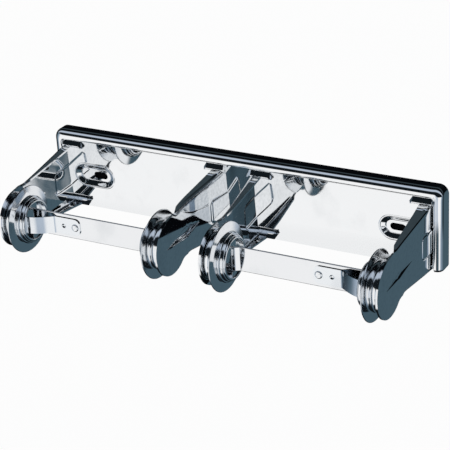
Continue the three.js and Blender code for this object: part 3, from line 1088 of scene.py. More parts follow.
TOP_TAB = TabShape(tall=6.4, tip_out=0.0, tip_rise=1.6, under_short=1.5, over_short=3.0, crest=0.24)
LOW_TAB = TabShape(tall=7.2, tip_out=1.0, tip_rise=5.8, under_short=3.0, over_short=1.0, crest=0.86)


@dataclass
class Arm:
    """One pressed arm: a flanged sheet with a round end, a pad, a dart and foot tabs."""

    bay: Bay
    place: Place
    sheet: float = 1.5
    end_radius: float = 22.5
    rear_top: float = 21.8
    rear_bottom: float = -32.6
    lower_slope: float = 0.09
    neck_blend: float = 5.0
    flange: float = 9.3
    flange_tip: float = 4.0
    flange_front: float = 78.0
    flange_taper: float = 10.0
    bend: float = 3.0
    seat_from: float = 4.0
    seat_to: float = 22.0
    pad_front: float = 30.0
    pad_bottom: float = -16.5
    pad_top: float = 2.2
    pad_corner: float = 4.0
    pad_proud: float = 0.7
    pad_slope: float = 0.9
    pad_inset: float = 0.9
    dart_from: float = 46.0
    dart_to: float = 91.0
    dart_widest: float = 68.0
    dart_rise: float = 4.0
    dart_width: float = 6.4
    dart_deep: float = 2.1
    dart_floor: float = 1.6
    dart_flat: float = 0.1
    dart_least: float = 0.01
    inner_dart: float = 1.5
    inner_widest: float = 61.0
    foot_reach: float = 18.5
    foot_top: float = 25.1
    foot_height: float = 6.4
    tab_root: float = 0.5
    tab_edge: float = 1.0
    tab_rise: float = 2.6
    tab_swell: float = 0.8
    tab_back: float = 0.02
    ridge_round: float = 0.12
    ridge_power: int = 8
    rivet_reach: float = 13.0
    rivet_seat: float = 0.9
    low_rivet: float = 0.6
    drum_radius: float = 19.3
    drum_fade: float = 4.0
    drum_gap: float = 0.2
    grid: float = 1.25
    grid_off_dart: float = 0.6
    grid_off_slope: float = 0.5
    grid_off_edge: float = 0.7
    edge_round: float = 0.3

    @property
    def name(self) -> str:
        """The arm's node name."""
        return f"{self.bay.word}_{self.place.value}_arm"

    def _point(self, forward: float, height: float, reach: float) -> Point:
        """A point of the arm; near the plate it follows the leaning panel.

        Args:
            forward: Distance from the wall.
            height: Height over the plate's centre.
            reach: How far the point is into the bay from the outer face.

        Returns:
            The point in the part's frame.
        """
        seated = 1 - eased(forward - LAYOUT.arm_rear, self.seat_from, self.seat_to)
        away = forward + seated * LAYOUT.leaning(height)
        return (self.bay.value * LAYOUT.inward(self.place, reach, forward), -away, height)

    @property
    def _tilt(self) -> float:
        """The angle of the top edge, which is tangent to the round end."""
        run = Vector((LAYOUT.axis_forward - LAYOUT.arm_rear, LAYOUT.axis_z - self.rear_top))
        return math.atan2(run.y, run.x) + math.asin(self.end_radius / run.length)

    def _top(self, forward: float) -> float:
        """Height of the top edge at a distance from the wall."""
        return self.rear_top + math.tan(self._tilt) * (forward - LAYOUT.arm_rear)

    def _low(self, forward: float) -> float:
        """Height of the lower edge at a distance from the wall."""
        return self.rear_bottom + self.lower_slope * (forward - LAYOUT.arm_rear)

    def _neck(self) -> float:
        """Where the lower edge meets the round end.

        Returns:
            The distance from the wall.
        """
        drop = self._low(LAYOUT.axis_forward) - LAYOUT.axis_z
        a = 1 + self.lower_slope ** 2
        b = 2 * self.lower_slope * drop
        c = drop * drop - self.end_radius ** 2
        return LAYOUT.axis_forward - (b + math.sqrt(b * b - 4 * a * c)) / (2 * a)

    def _turned_in(self, forward: float, front: float) -> float:
        """Length of sheet that is turned in at one place along an edge.

        Args:
            forward: Distance from the wall.
            front: Where the flange has run out.

        Returns:
            The length, from the bend's start round to the flange's free edge.
        """
        tip_at = front - self.flange_taper
        if forward < tip_at:
            share = (forward - LAYOUT.arm_rear) / (tip_at - LAYOUT.arm_rear)
            width = self.flange + share * (self.flange_tip - self.flange)
        else:
            width = self.flange_tip * max(front - forward, 0.0) / self.flange_taper
        if width > self.bend:
            return self.bend * math.pi / 2 + width - self.bend
        return self.bend * math.acos(1 - width / self.bend)

    def _turned_edge(self, edge: Callable[[float], float], front: float, up: int
                     ) -> list[tuple[Vector, Vector, float]]:
        """The start of a flange's bend along one edge.

        Args:
            edge: Height of the edge at a distance from the wall.
            front: Where the flange has tapered away.
            up: 1 for the top edge and -1 for the lower one.

        Returns:
            For each step forward: the bend's start, the way out across the edge, and the
            length of sheet that is turned in.
        """
        rise = edge(1.0) - edge(0.0)
        out = Vector((-rise, 1.0)).normalized() * up
        steps = 44
        rows = []
        for i in range(steps + 1):
            forward = LAYOUT.arm_rear + (front - LAYOUT.arm_rear) * i / steps
            turned_in = self._turned_in(forward, front)
            angle = min(turned_in / self.bend, math.pi / 2)
            start = Vector((forward, edge(forward))) - out * self.bend * math.sin(angle)
            rows.append((start, out, turned_in))
        return rows

    def _flange(self, skin: Skin, rows: Sequence[tuple[Vector, Vector, float]]) -> None:
        """Adds one turned flange along its edge.

        Args:
            skin: The arm's skin.
            rows: The bend's start, way out and length at each step.
        """
        outer, inner = [], []
        steps = 7
        first_run = 0.5
        tight = self.bend - self.sheet
        for start, out, length in rows:
            angle = min(length / self.bend, math.pi / 2)
            run = max(length - self.bend * math.pi / 2, 0.0)
            faces = ([], [])
            for i in range(steps + 1):
                a = angle * i / steps
                for face, radius in zip(faces, (self.bend, tight)):
                    spot = start + out * radius * math.sin(a)
                    face.append(self._point(*spot, self.bend - radius * math.cos(a)))
            for face, radius in zip(faces, (self.bend, tight)):
                spot = start + out * radius * math.sin(angle)
                last = self.bend - radius * math.cos(angle)
                face.append(self._point(*spot, last + min(run, first_run)))
                face.append(self._point(*spot, last + run))
            outer.append(skin.row(faces[0]))
            inner.append(skin.row(faces[1]))
        skin.sheet(outer)
        skin.sheet(inner)
        skin.strip([row[-1] for row in outer], [row[-1] for row in inner])
        skin.strip(outer[0], inner[0])

    def _outline(self, top: Sequence[Vector], low: Sequence[Vector]) -> list[Flat]:
        """The flat face's outline between the bends and round the front end.

        Args:
            top: Starts of the top flange's bend, rear to front.
            low: Starts of the lower flange's bend, rear to front.

        Returns:
            The outline's points in order.
        """
        axis = (LAYOUT.axis_forward, LAYOUT.axis_z)
        neck = self._neck()
        neck_turn = math.atan2(self._low(neck) - axis[1], neck - axis[0])
        start = neck_turn + self.neck_blend / self.end_radius
        end = self._tilt + math.pi / 2
        if end < start:
            end += 2 * math.pi
        begin = Vector((neck - self.neck_blend, self._low(neck - self.neck_blend)))
        mid = Vector((neck, self._low(neck)))
        stop = Vector((axis[0] + self.end_radius * math.cos(start),
                       axis[1] + self.end_radius * math.sin(start)))
        blend = []
        spans, end_spans, rear_spans = 8, 72, 36
        for i in range(1, spans):
            t = i / spans
            blend.append(tuple(begin * (1 - t) ** 2 + mid * 2 * t * (1 - t) + stop * t * t))
        around = arc(axis, self.end_radius, math.degrees(start), math.degrees(end), end_spans)
        tangent = Vector(around[-1])
        last = Vector((self.flange_front, self._top(self.flange_front)))
        bridge = [tuple(tangent.lerp(last, i / spans)) for i in range(1, spans)]
        rear = [tuple(top[0].lerp(low[0], i / rear_spans)) for i in range(1, rear_spans)]
        return [*map(tuple, low), *blend, *around, *bridge, *map(tuple, reversed(top)), *rear]

    def _pad_gap(self, forward: float, height: float) -> float:
        """How far a point is outside the pad's outline, which is open to the rear.

        Args:
            forward: The point's distance from the wall.
            height: The point's height.

        Returns:
            The distance, less than 0 inside the pad.
        """
        middle = (self.pad_bottom + self.pad_top) / 2
        half = (self.pad_top - self.pad_bottom) / 2
        over = Vector((forward - self.pad_front + self.pad_corner,
                       abs(height - middle) - half + self.pad_corner))
        outside = Vector((max(over.x, 0.0), max(over.y, 0.0))).length
        return outside + min(max(over.x, over.y), 0.0) - self.pad_corner

    @property
    def _dart_scale(self) -> float:
        """How many times as wide as an outer arm's dart this one is."""
        return self.inner_dart if self.place is Place.INNER else 1.0

    def _dart_middle(self, forward: float) -> float:
        """Height of the dart's middle line."""
        span = self.dart_to - self.dart_from
        return LAYOUT.axis_z + self.dart_rise * (self.dart_to - forward) / span

    def _dart_half(self, forward: float) -> float:
        """Half the dart's width, which is 0 at both its ends.

        Args:
            forward: Distance from the wall.

        Returns:
            The half width there.
        """
        widest = self.inner_widest if self.place is Place.INNER else self.dart_widest
        if forward < widest:
            share = (forward - self.dart_from) / (widest - self.dart_from)
        else:
            share = (self.dart_to - forward) / (self.dart_to - widest)
        return max(share, 0.0) * self._dart_scale * self.dart_width / 2

    def _pressed(self, forward: float, height: float) -> float:
        """How far the outer face is pressed into the bay at a point; the pad stands out.

        Args:
            forward: The point's distance from the wall.
            height: The point's height.

        Returns:
            The depth, less than 0 on the pad.
        """
        gap = self._pad_gap(forward, height)
        depth = -self.pad_proud * eased(-gap, 0.0, self.pad_slope)
        half = self._dart_half(forward)
        if half > self.dart_least:
            across = abs(height - self._dart_middle(forward)) / half
            steep = 2 * half / self.dart_width
            fall = (1 - min(max(across, self.dart_flat), 1.0)) / (1 - self.dart_flat)
            sunk = self.dart_deep * steep * fall
            depth += min(sunk, self.dart_floor)
        return depth

    def _form_lines(self) -> list[list[Flat]]:
        """Lines along the pad's slope and the dart, which the face's triangles keep to.

        Returns:
            The lines' points of distance from the wall and height.
        """
        lines = []
        slope_spans, run_spans, corner_spans, dart_spans = 4, 14, 8, 48
        for i in range(slope_spans + 1):
            inset = self.pad_slope * i / slope_spans
            radius = self.pad_corner - inset
            front = self.pad_front - self.pad_corner
            low, high = self.pad_bottom + self.pad_corner, self.pad_top - self.pad_corner
            rear = LAYOUT.arm_rear + self.pad_inset
            runs = [rear + (front - rear) * j / run_spans for j in range(run_spans)]
            lines.append([*((u, low - radius) for u in runs),
                          *arc((front, low), radius, -90, 0, corner_spans),
                          *arc((front, high), radius, 0, 90, corner_spans),
                          *((u, high + radius) for u in reversed(runs))])
        for share in (-1.0, -0.7, -0.4, -self.dart_flat, self.dart_flat, 0.4, 0.7, 1.0):
            line = []
            for j in range(1, dart_spans):
                forward = self.dart_from + (self.dart_to - self.dart_from) * j / dart_spans
                line.append((forward, self._dart_middle(forward)
                             + share * self._dart_half(forward)))
            lines.append(line)
        return lines

    def _grid_points(self, outline: Sequence[Flat]) -> list[Flat]:
        """Even points inside the outline, kept off its edge and off the pressed forms.

        Args:
            outline: The flat face's outline.

        Returns:
            The points of the grid.
        """
        inside = []
        shape = [Vector(p) for p in outline]
        forward = LAYOUT.arm_rear + self.grid
        while forward < LAYOUT.axis_forward + self.end_radius:
            height = self.rear_bottom
            half = self._dart_half(forward) + self.grid_off_dart
            while height < self.rear_top:
                spot = (forward, height)
                beside = abs(height - self._dart_middle(forward))
                on_dart = half > self.grid_off_dart and beside < half
                gap, off = self._pad_gap(*spot), self.grid_off_slope
                on_slope = -self.pad_slope - off < gap < off
                near = any((Vector(spot) - corner).length < self.grid_off_edge for corner in shape)
                if not (on_dart or on_slope or near) and within(spot, outline):
                    inside.append(spot)
                height += self.grid
            forward += self.grid
        return inside

    @staticmethod
    def _key(spot: Vector) -> Flat:
        """A point's place, rounded so that it can be looked up."""
        return (round(spot.x, 3), round(spot.y, 3))

    def _face(self, skin: Skin, outline: Sequence[Flat], bent: set[Flat]) -> None:
        """Adds the arm's two faces and the rim where no flange is turned.

        Args:
            skin: The arm's skin.
            outline: The flat face's outline.
            bent: Rounded outline points where a flange begins.
        """
        spots = [Vector(p) for p in [*outline, *self._grid_points(outline)]]
        count = len(outline)
        edges = [(i, (i + 1) % count) for i in range(count)]
        for line in self._form_lines():
            first = len(spots)
            spots += [Vector(p) for p in line]
            edges += [(i, i + 1) for i in range(first, len(spots) - 1)]
        points, triangles, _ = triangulated(spots, edges)
        outer, inner = [], []
        axis = Vector((LAYOUT.axis_forward, LAYOUT.axis_z))
        for spot in points:
            depth = self._pressed(spot.x, spot.y)
            behind = max(depth, -self.pad_proud) + self.sheet
            near = eased((spot - axis).length, self.drum_radius + self.drum_fade, self.drum_radius)
            behind -= near * max(behind - self.sheet - self.drum_gap, 0.0)
            outer.append(self._point(spot.x, spot.y, depth))
            inner.append(self._point(spot.x, spot.y, behind))
        near_row, far_row = skin.row(outer), skin.row(inner)
        uses: dict[tuple[int, int], int] = {}
        for corners in triangles:
            skin.faces.append(tuple(near_row[i] for i in corners))
            skin.faces.append(tuple(far_row[i] for i in reversed(corners)))
            for a, b in zip(corners, [*corners[1:], corners[0]]):
                key = (min(a, b), max(a, b))
                uses[key] = uses.get(key, 0) + 1
        on_bend = [self._key(spot) in bent for spot in points]
        for (a, b), times in uses.items():
            if times == 1 and not (on_bend[a] and on_bend[b]):
                skin.faces.append((near_row[a], near_row[b], far_row[b], far_row[a]))

    def _tab(self, skin: Skin, under: Sequence[Flat], over: Sequence[Flat], crest: float) -> None:
        """Adds one foot tab, pressed out along a line across its height.

        Args:
            skin: The arm's skin.
            under: The lower edge as reach and height, from the arm to the tip.
            over: The upper edge, from the arm to the same tip.
            crest: Where the tab stands furthest out, as a share of its height.
        """
        columns, steps = 28, 14
        root, tip = under[0][0], under[-1][0]
        front, back = [], []
        for i in range(columns + 1):
            reach = root + (tip - root) * math.sin(math.pi / 2 * i / columns)
            low, high = along(under, reach), along(over, reach)
            bulge = self.tab_rise * eased(high - low, 0.0, self.tab_swell * self.foot_height)
            rows = ([], [])
            for j in range(steps + 1):
                share = j / steps
                side = min(share / crest, (1 - share) / (1 - crest))
                rise = side - self.ridge_round * side ** self.ridge_power
                out = self.tab_edge + bulge * rise / (1 - self.ridge_round)
                height = low + (high - low) * share
                for row, far in zip(rows, (out, self.tab_back)):
                    x, y, z = self._point(LAYOUT.arm_rear, height, reach)
                    row.append((x, y - far, z))
            front.append(skin.row(rows[0]))
            back.append(skin.row(rows[1]))
        skin.sheet(front)
        skin.sheet(back)
        for last in (0, -1):
            skin.strip([row[last] for row in front], [row[last] for row in back])
        skin.strip(front[0], back[0])

    def _tabs(self, skin: Skin) -> None:
        """Adds the two foot tabs that lie on the panel.

        Args:
            skin: The arm's skin.
        """
        root, reach = self.tab_root, self.foot_reach
        for tab, low in ((TOP_TAB, self.foot_top - self.foot_height), (LOW_TAB, self.rear_bottom)):
            high, tip = low + tab.tall, (reach + tab.tip_out, low + tab.tip_rise)
            under = [(root, low), (reach - tab.under_short, low), tip]
            over = [(root, high), (reach - tab.over_short, high), tip]
            self._tab(skin, under, over, tab.crest)

    def build(self) -> bpy.types.Object:
        """Builds the arm.

        Returns:
            The arm's object.
        """
        skin = Skin()
        top = self._turned_edge(self._top, self.flange_front, 1)
        low = self._turned_edge(self._low, self._neck() - self.neck_blend, -1)
        for rows in (top, low):
            self._flange(skin, rows)
        outline = self._outline([r[0] for r in top], [r[0] for r in low])
        bent = {self._key(r[0]) for r in [*top, *low]}
        self._face(skin, outline, bent)
        self._tabs(skin)
        arm = skin.object(f"{self.bay.word}_{self.place.value}_pressed_arm")
        return soften(arm, self.edge_round)

    def dress(self, arm: bpy.types.Object) -> None:
        """Finishes the arm and sets it on the frame."""
        hand_over(arm, Body.FRAME.value, PRESSED_CHROME, [self.name])

    def foot_rivets(self) -> list[Point]:
        """Where the tabs are riveted, measured from the plane of the wall.

        Returns:
            The top rivet's place and the lower one's.
        """
        x = self.bay.value * LAYOUT.inward(self.place, self.rivet_reach, LAYOUT.arm_rear)
        heights = (self.foot_top - self.foot_height / 2,
                   self.rear_bottom + self.foot_height * self.low_rivet)
        return [(x, -LAYOUT.leaning(z) + self.rivet_seat, z) for z in heights]


# Corners of a hub: at its root, past the flange and over the drum, and at its lip, behind the
# mouth and over the mouth's radius.
HUB_ROOT = ((0.0, 0.5), (0.1, 0.15))
HUB_LIP = ((0.0, 0.3), (0.15, 0.05), (0.5, 0.0), (1.0, 0.2))


@dataclass
class Spool:
    """The turning drum on one arm: a ribbed spacer, the roll's flange and a ribbed hub."""

    bay: Bay
    place: Place
    lathe: Lathe
    floor: float = 1.8
    reach: float = 12.4
    flange_radius: float = 26.25
    flange_sheet: float = 1.0
    flange_dish: float = 1.25
    rib_radius: float = 19.0
    rib_deep: float = 1.0
    hub_length: float = 6.0
    hub_radius: float = 18.7
    hub_taper: float = 1.3
    throat: float = 15.5
    mouth: float = 14.5
    lip: float = 1.2
    wall: float = 1.0
    stud: float = 4.3
    seam: float = 0.2
    fit: float = 0.05
    floor_round: float = 1.2
    root_gap: float = 0.3
    rib_start: float = 0.3
    rest_width: float = 8.0
    rest_inner: float = 7.4
    rest_short: float = 1.2
    rest_sunk: float = 0.5
    rest_edge: float = 0.15
    bar_height: float = 19.5
    bar_sheet: float = 1.6
    slide: float = 0.3

    @property
    def stem(self) -> str:
        """The start of the spool's node and piece names."""
        return f"{self.bay.word}_{self.place.value}"

    def _ribs(self, start: float, end: float, crest: float, taper: float = 0.0) -> list[Flat]:
        """A drum's two rounded ribs.

        Args:
            start: Where the first rib begins, inward from the arm.
            end: Where the second rib ends.
            crest: Radius at the first rib's top.
            taper: How much lower the second rib's top is.

        Returns:
            Points along the ribs.
        """
        points = []
        width = (end - start) / 2
        steps = 48
        for i in range(steps + 1):
            share = 2 * i / steps
            drop = self.rib_deep * abs(math.sin(math.pi * share)) ** 0.5
            radius = crest - self.rib_deep + drop - taper * eased(share, 0.5, 1.5)
            points.append((start + width * share, radius))
        return points

    def _turn(self, name: str, profile: Sequence[Flat]) -> bpy.types.Object:
        """Turns a profile that is measured inward from the arm's outer face."""
        placed = [(self.bay.value * LAYOUT.inward(self.place, u), r) for u, r in profile]
        return self.lathe.turn(name, placed, LAYOUT.axis, TURNED_CHROME)

    def spacer(self) -> bpy.types.Object:
        """Builds the drum between the arm and the flange.

        Returns:
            The spacer's object.
        """
        rim = self.reach - self.flange_sheet - self.fit
        low = self.rib_radius - self.rib_deep
        inner = low - self.wall
        profile = [(self.floor, self.stud), (self.floor, low - self.floor_round),
                   (self.floor + self.seam, low - self.floor_round / 4)]
        profile += self._ribs(self.floor + 2 * self.seam, rim, self.rib_radius)
        profile += [(rim, inner), (self.floor + self.wall, inner),
                    (self.floor + self.wall, self.stud), (self.floor, self.stud)]
        return self._turn(f"{self.stem}_spacer_drum", profile)

    def hub(self, groove: float, rest_to: float) -> bpy.types.Object:
        """Builds the flange and hub, with the rests that carry the bar's end.

        Args:
            groove: How far the bar's middle lies behind the axis here.
            rest_to: How far the rests reach inward.

        Returns:
            The hub's object.
        """
        back = self.reach - self.flange_sheet
        edge = self.flange_sheet / 2
        mouth_at = self.reach + self.hub_length
        crown_at = mouth_at - self.lip
        step = (self.reach + crown_at) / 2 - self.wall
        base = self.hub_radius - self.rib_deep
        low = base - self.hub_taper
        dish, root = self.flange_dish, self.rib_radius + self.root_gap
        top = self.flange_radius - edge
        slope = [(dish * t, root + (top - root) * t) for t in (0.03, 0.5, 0.97)]
        foot = root - self.seam
        profile = [(back, 0.0), (back, foot), *((back - u, r) for u, r in slope)]
        profile += arc((back + edge - dish, top), edge, 180, 0, steps=10)
        profile += [*((self.reach - u, r) for u, r in reversed(slope)), (self.reach, foot)]
        profile += [(self.reach + past, base + over) for past, over in HUB_ROOT]
        rib_at = self.reach + self.rib_start
        profile += self._ribs(rib_at, crown_at, self.hub_radius, self.hub_taper)
        profile += arc((crown_at, low - self.lip), self.lip, 90, 0, steps=9)[1:]
        profile += [(mouth_at - behind, self.mouth + over) for behind, over in HUB_LIP]
        wide = self.throat + self.hub_taper
        profile += [(mouth_at - self.wall, self.throat), (step, self.throat), (step, wide),
                    (self.reach, wide), (self.reach, 0.0)]
        hub = self._turn(f"{self.stem}_flanged_hub", profile)
        self._add_rests(hub, groove, rest_to)
        return hub

    def _add_rests(self, hub: bpy.types.Object, groove: float, rest_to: float) -> None:
        """Adds the two ledges inside a hub that hold the bar's edges.

        Args:
            hub: The turned hub.
            groove: How far the bar's middle lies behind the axis here.
            rest_to: How far the rests reach inward.
        """
        outer = self.throat + self.wall / 2
        tall = math.sqrt(outer ** 2 - (self.rest_width / 2) ** 2)
        side = self.bar_height / 2 + self.slide
        seat = groove + self.bar_sheet / 2 + self.slide
        near = self.bay.value * LAYOUT.inward(self.place, self.reach - self.rest_sunk)
        far = self.bay.value * LAYOUT.inward(self.place, rest_to)
        skin = Skin()
        for way in (1, -1):
            ledge = [(-self.rest_width / 2, side), (seat, side), (seat, self.rest_inner),
                     (self.rest_width / 2, self.rest_inner), (self.rest_width / 2, tall),
                     (-self.rest_width / 2, tall)]
            skin.slab(ledge, lambda p, face: (
                far if face else near, LAYOUT.axis[0] + p[0], LAYOUT.axis[1] + way * p[1]))
        rests = soften(skin.object("rests"), self.rest_edge)
        TURNED_CHROME.dress(rests)
        work = bmesh.new()
        work.from_mesh(hub.data)
        work.from_mesh(rests.data)
        work.to_mesh(hub.data)
        work.free()
        bpy.data.objects.remove(rests)

    def dress(self, spacer: bpy.types.Object, hub: bpy.types.Object) -> None:
        """Finishes the drum and sets it on the bay's spindle.

        Args:
            spacer: The drum between the arm and the flange.
            hub: The flange and hub.
        """
        body = Body.SPINDLE.of(self.bay)
        hand_over(spacer, body, TURNED_CHROME, [f"{self.stem}_spacer_cup"])
        hand_over(hub, body, TURNED_CHROME, [f"{self.stem}_hub_cup"])


# The leaf's bow: share of its run from the bend to the hook, and share of its whole rise.
LEAF_BOW = ((0.0, 0.0), (0.07, 0.06), (0.2, 0.26), (0.4, 0.54), (0.62, 0.78), (0.82, 0.93),
            (0.93, 0.985))


@dataclass
class RollBar:
    """The flat bar that carries a roll, with its spring latch leaf."""

    bay: Bay
    height: float = 19.5
    sheet: float = 1.6
    behind_axis: float = 1.1
    joggle: float = 2.0
    joggle_from: float = 18.4
    joggle_to: float = 21.6
    bend_radius: float = 1.4
    edge_round: float = 0.76
    travel: float = 3.2
    hook: float = 2.8
    mouth: float = 18.4
    reach: float = 12.4
    leaf_height: float = 13.6
    leaf_sheet: float = 0.9
    leaf_gap: float = 0.05
    leaf_edge: float = 0.38
    leaf_end: float = 58.4
    leaf_corner: float = 4.5
    leaf_bend: float = 37.0
    leaf_bow: float = 9.3
    leaf_tip: float = 13.59
    lip: float = 1.0
    hook_gap: float = 0.3
    hook_radius: float = 0.55
    hook_lean: float = 0.18
    dimple_at: float = 44.0
    dimple_radius: float = 2.0
    dimple_deep: float = 1.05
    dimple_flat: float = 0.25
    rivet_at: float = 54.3

    @property
    def middle(self) -> float:
        """The bar's middle plane, as Y."""
        return self.behind_axis - LAYOUT.axis_forward

    @property
    def leaf_middle(self) -> float:
        """The middle plane of the leaf where it lies on the bar, as Y."""
        return self.middle - self.sheet / 2 - self.leaf_gap - self.leaf_sheet / 2

    def groove(self, place: Place) -> float:
        """How far the bar's middle lies behind the axis at one of its ends."""
        return self.behind_axis - (self.joggle if place is Place.INNER else 0.0)

    def _ribbon(self, skin: Skin, line: Sequence[Flat], sheet: float,
                half: Callable[[float], float], press: Callable[[float, float], float],
                across: int) -> None:
        """Adds a strip that stands on edge along a line seen from above.

        Args:
            skin: The strip's skin.
            line: Points of X, before the bay's sign, and Y.
            sheet: The strip's thickness.
            half: Half the strip's height at an X.
            press: How far the sheet is pressed forward at an X and height.
            across: Spans across the height.
        """
        front, back = [], []
        path = [Vector(p) for p in line]
        for i, spot in enumerate(path):
            before, after = path[max(i - 1, 0)], path[min(i + 1, len(path) - 1)]
            way = (after - before).normalized()
            out = Vector((way.y, -way.x))
            if out.y > 0 or (abs(out.y) < NEGLIGIBLE and out.x > 0):
                out = -out
            rows = ([], [])
            for j in range(across + 1):
                height = half(spot.x) * (2 * j / across - 1)
                push = press(spot.x, height)
                for row, sign in zip(rows, (1, -1)):
                    at = spot + out * (push + sign * sheet / 2)
                    row.append((self.bay.value * at.x, at.y, LAYOUT.axis_z + height))
            front.append(skin.row(rows[0]))
            back.append(skin.row(rows[1]))
        skin.sheet(front)
        skin.sheet(back)
        for end in (0, -1):
            skin.strip([row[end] for row in front], [row[end] for row in back])
            skin.strip(front[end], back[end])

    def bar(self) -> bpy.types.Object:
        """Builds the bar with its double bend at the inner hub.

        Returns:
            The bar's object.
        """
        outer = LAYOUT.inward(Place.OUTER, self.mouth - self.hook)
        inner = LAYOUT.inward(Place.INNER, self.reach + self.travel)
        bend_from = LAYOUT.inward(Place.INNER, self.joggle_to)
        bend_to = LAYOUT.inward(Place.INNER, self.joggle_from)
        ahead = self.middle - self.joggle
        corners = [(outer, self.middle), (bend_from, self.middle), (bend_to, ahead), (inner, ahead)]
        line = rounded(corners, self.bend_radius, steps=6)
        skin = Skin()
        self._ribbon(skin, line, self.sheet, lambda _: self.height / 2, lambda *_: 0.0, across=2)
        return soften(skin.object(f"{self.bay.word}_flat_bar"), self.edge_round)

    def leaf(self) -> bpy.types.Object:
        """Builds the leaf in one length: its riveted foot, its bow and its hook.

        Returns:
            The leaf's object.
        """
        end = LAYOUT.inward(Place.OUTER, self.leaf_end)
        bend = LAYOUT.inward(Place.OUTER, self.leaf_bend)
        behind_lip = self.mouth - self.lip - self.hook_gap
        hook = LAYOUT.inward(Place.OUTER, behind_lip - self.leaf_sheet / 2)
        run = hook - bend
        base = self.leaf_middle
        spans, crowding = 64, 1.4
        foot = [(end + (bend - end) * (i / spans) ** crowding, base) for i in range(spans)]
        bow = through([(bend + share * run, base - rise * self.leaf_bow)
                       for share, rise in LEAF_BOW], spans=6)
        tip = (hook + self.hook_lean, -LAYOUT.axis_forward - self.leaf_tip)
        turn = rounded([bow[-1], (hook, base - self.leaf_bow), tip], self.hook_radius, steps=5)
        line = [*foot, *bow, *turn[1:]]
        dimple = LAYOUT.inward(Place.OUTER, self.dimple_at)

        def half(x: float) -> float:
            """Half the leaf's height, less at the rounded end of its foot.

            Args:
                x: Where along the leaf, before the bay's sign.

            Returns:
                The half height there.
            """
            gone = max(self.leaf_corner - (x - end), 0.0)
            round_off = self.leaf_corner - math.sqrt(max(self.leaf_corner ** 2 - gone ** 2, 0.0))
            return self.leaf_height / 2 - round_off

        def press(x: float, height: float) -> float:
            """The locating dimple's depth, as a push backward."""
            away = math.hypot(x - dimple, height) / self.dimple_radius
            return -self.dimple_deep * (1 - eased(away, self.dimple_flat, 1.0))

        skin = Skin()
        self._ribbon(skin, line, self.leaf_sheet, half, press, across=34)
        return soften(skin.object(f"{self.bay.word}_spring_leaf"), self.leaf_edge)

    def rivet_place(self) -> Point:
        """Where the leaf is riveted, on the leaf's front face."""
        x = self.bay.value * LAYOUT.inward(Place.OUTER, self.rivet_at)
        return (x, self.leaf_middle - self.leaf_sheet / 2, LAYOUT.axis_z)

    def dress(self, bar: bpy.types.Object, leaf: bpy.types.Object) -> None:
        """Finishes the bar and sets it on the bay's spindle; finishes the leaf, which takes the
        place of the leaf's solids.

        Args:
            bar: The flat bar.
            leaf: The spring leaf.
        """
        word = self.bay.word
        hand_over(bar, Body.SPINDLE.of(self.bay), BAR_CHROME, [f"{word}_roll_bar"])
        SPRING_CHROME.dress(leaf)
        Body.SPINDLE.of(self.bay)
        Body.LATCH.of(self.bay)
        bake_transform(leaf)
        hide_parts(f"{word}_leaf_foot", f"{word}_latch_leaf")
        log.info("%s between %s and %s", leaf.name, Body.SPINDLE.of(self.bay),
                 Body.LATCH.of(self.bay))


@dataclass(frozen=True)
class RivetShape:
    """One kind of rivet; its rear and front are where its heads meet the sheet."""

    rear: float
    rear_head: float
    shank: float
    front: float
    head: float
    dome: float
    rear_thick: float = 1.0
    chamfer_deep: float = 0.3
    chamfer_wide: float = 0.35
    draft: float = 0.05
    flatness: float = 0.5

    def profile(self) -> list[Flat]:
        """The rivet's profile with a flat rear head and a domed front head.

        Returns:
            Points of distance forward and radius.
        """
        back = self.rear - self.rear_thick
        profile = [(back, 0.0), (back, self.rear_head - self.chamfer_wide),
                   (back + self.chamfer_deep, self.rear_head - self.draft),
                   (self.rear, self.rear_head), (self.rear, self.shank),
                   (self.front, self.shank), (self.front, self.head)]
        for degrees in range(10, 90, 10):
            turn = math.radians(degrees)
            profile.append((self.front + self.dome * math.sin(turn),
                            self.head * math.cos(turn) ** self.flatness))
        profile.append((self.front + self.dome, 0.0))
        return profile


FOOT_RIVET = RivetShape(rear=6.25, rear_head=2.1, shank=1.5, front=9.1, head=2.5, dome=1.4)
LEAF_RIVET = RivetShape(rear=-2.6, rear_head=2.5, shank=1.9, front=0.05, head=3.0, dome=1.0)


@dataclass
class Rivets:
    """The rivets of the feet and of the leaves."""

    setter: RivetSetter
    foot: RivetShape = FOOT_RIVET
    leaf: RivetShape = LEAF_RIVET

    def build(self, arms: Sequence[Arm], bars: Sequence[RollBar]) -> None:
        """Builds the rivets, one piece for each body.

        Args:
            arms: The arms whose feet are riveted.
            bars: The bars whose leaves are riveted.
        """
        places = [place for arm in arms for place in arm.foot_rivets()]
        piece = self.setter.set("foot_rivets", self.foot.profile(), places, RIVET_STEEL)
        nodes = [f"{arm.bay.word}_{arm.place.value}_{end}_foot_rivet"
                 for arm in arms for end in ("top", "bottom")]
        hand_over(piece, Body.FRAME.value, RIVET_STEEL, nodes)
        for bar in bars:
            word = bar.bay.word
            piece = self.setter.set(f"{word}_leaf_pin", self.leaf.profile(), [bar.rivet_place()],
                                    RIVET_STEEL)
            hand_over(piece, Body.SPINDLE.of(bar.bay), RIVET_STEEL, [f"{word}_leaf_rivet"])


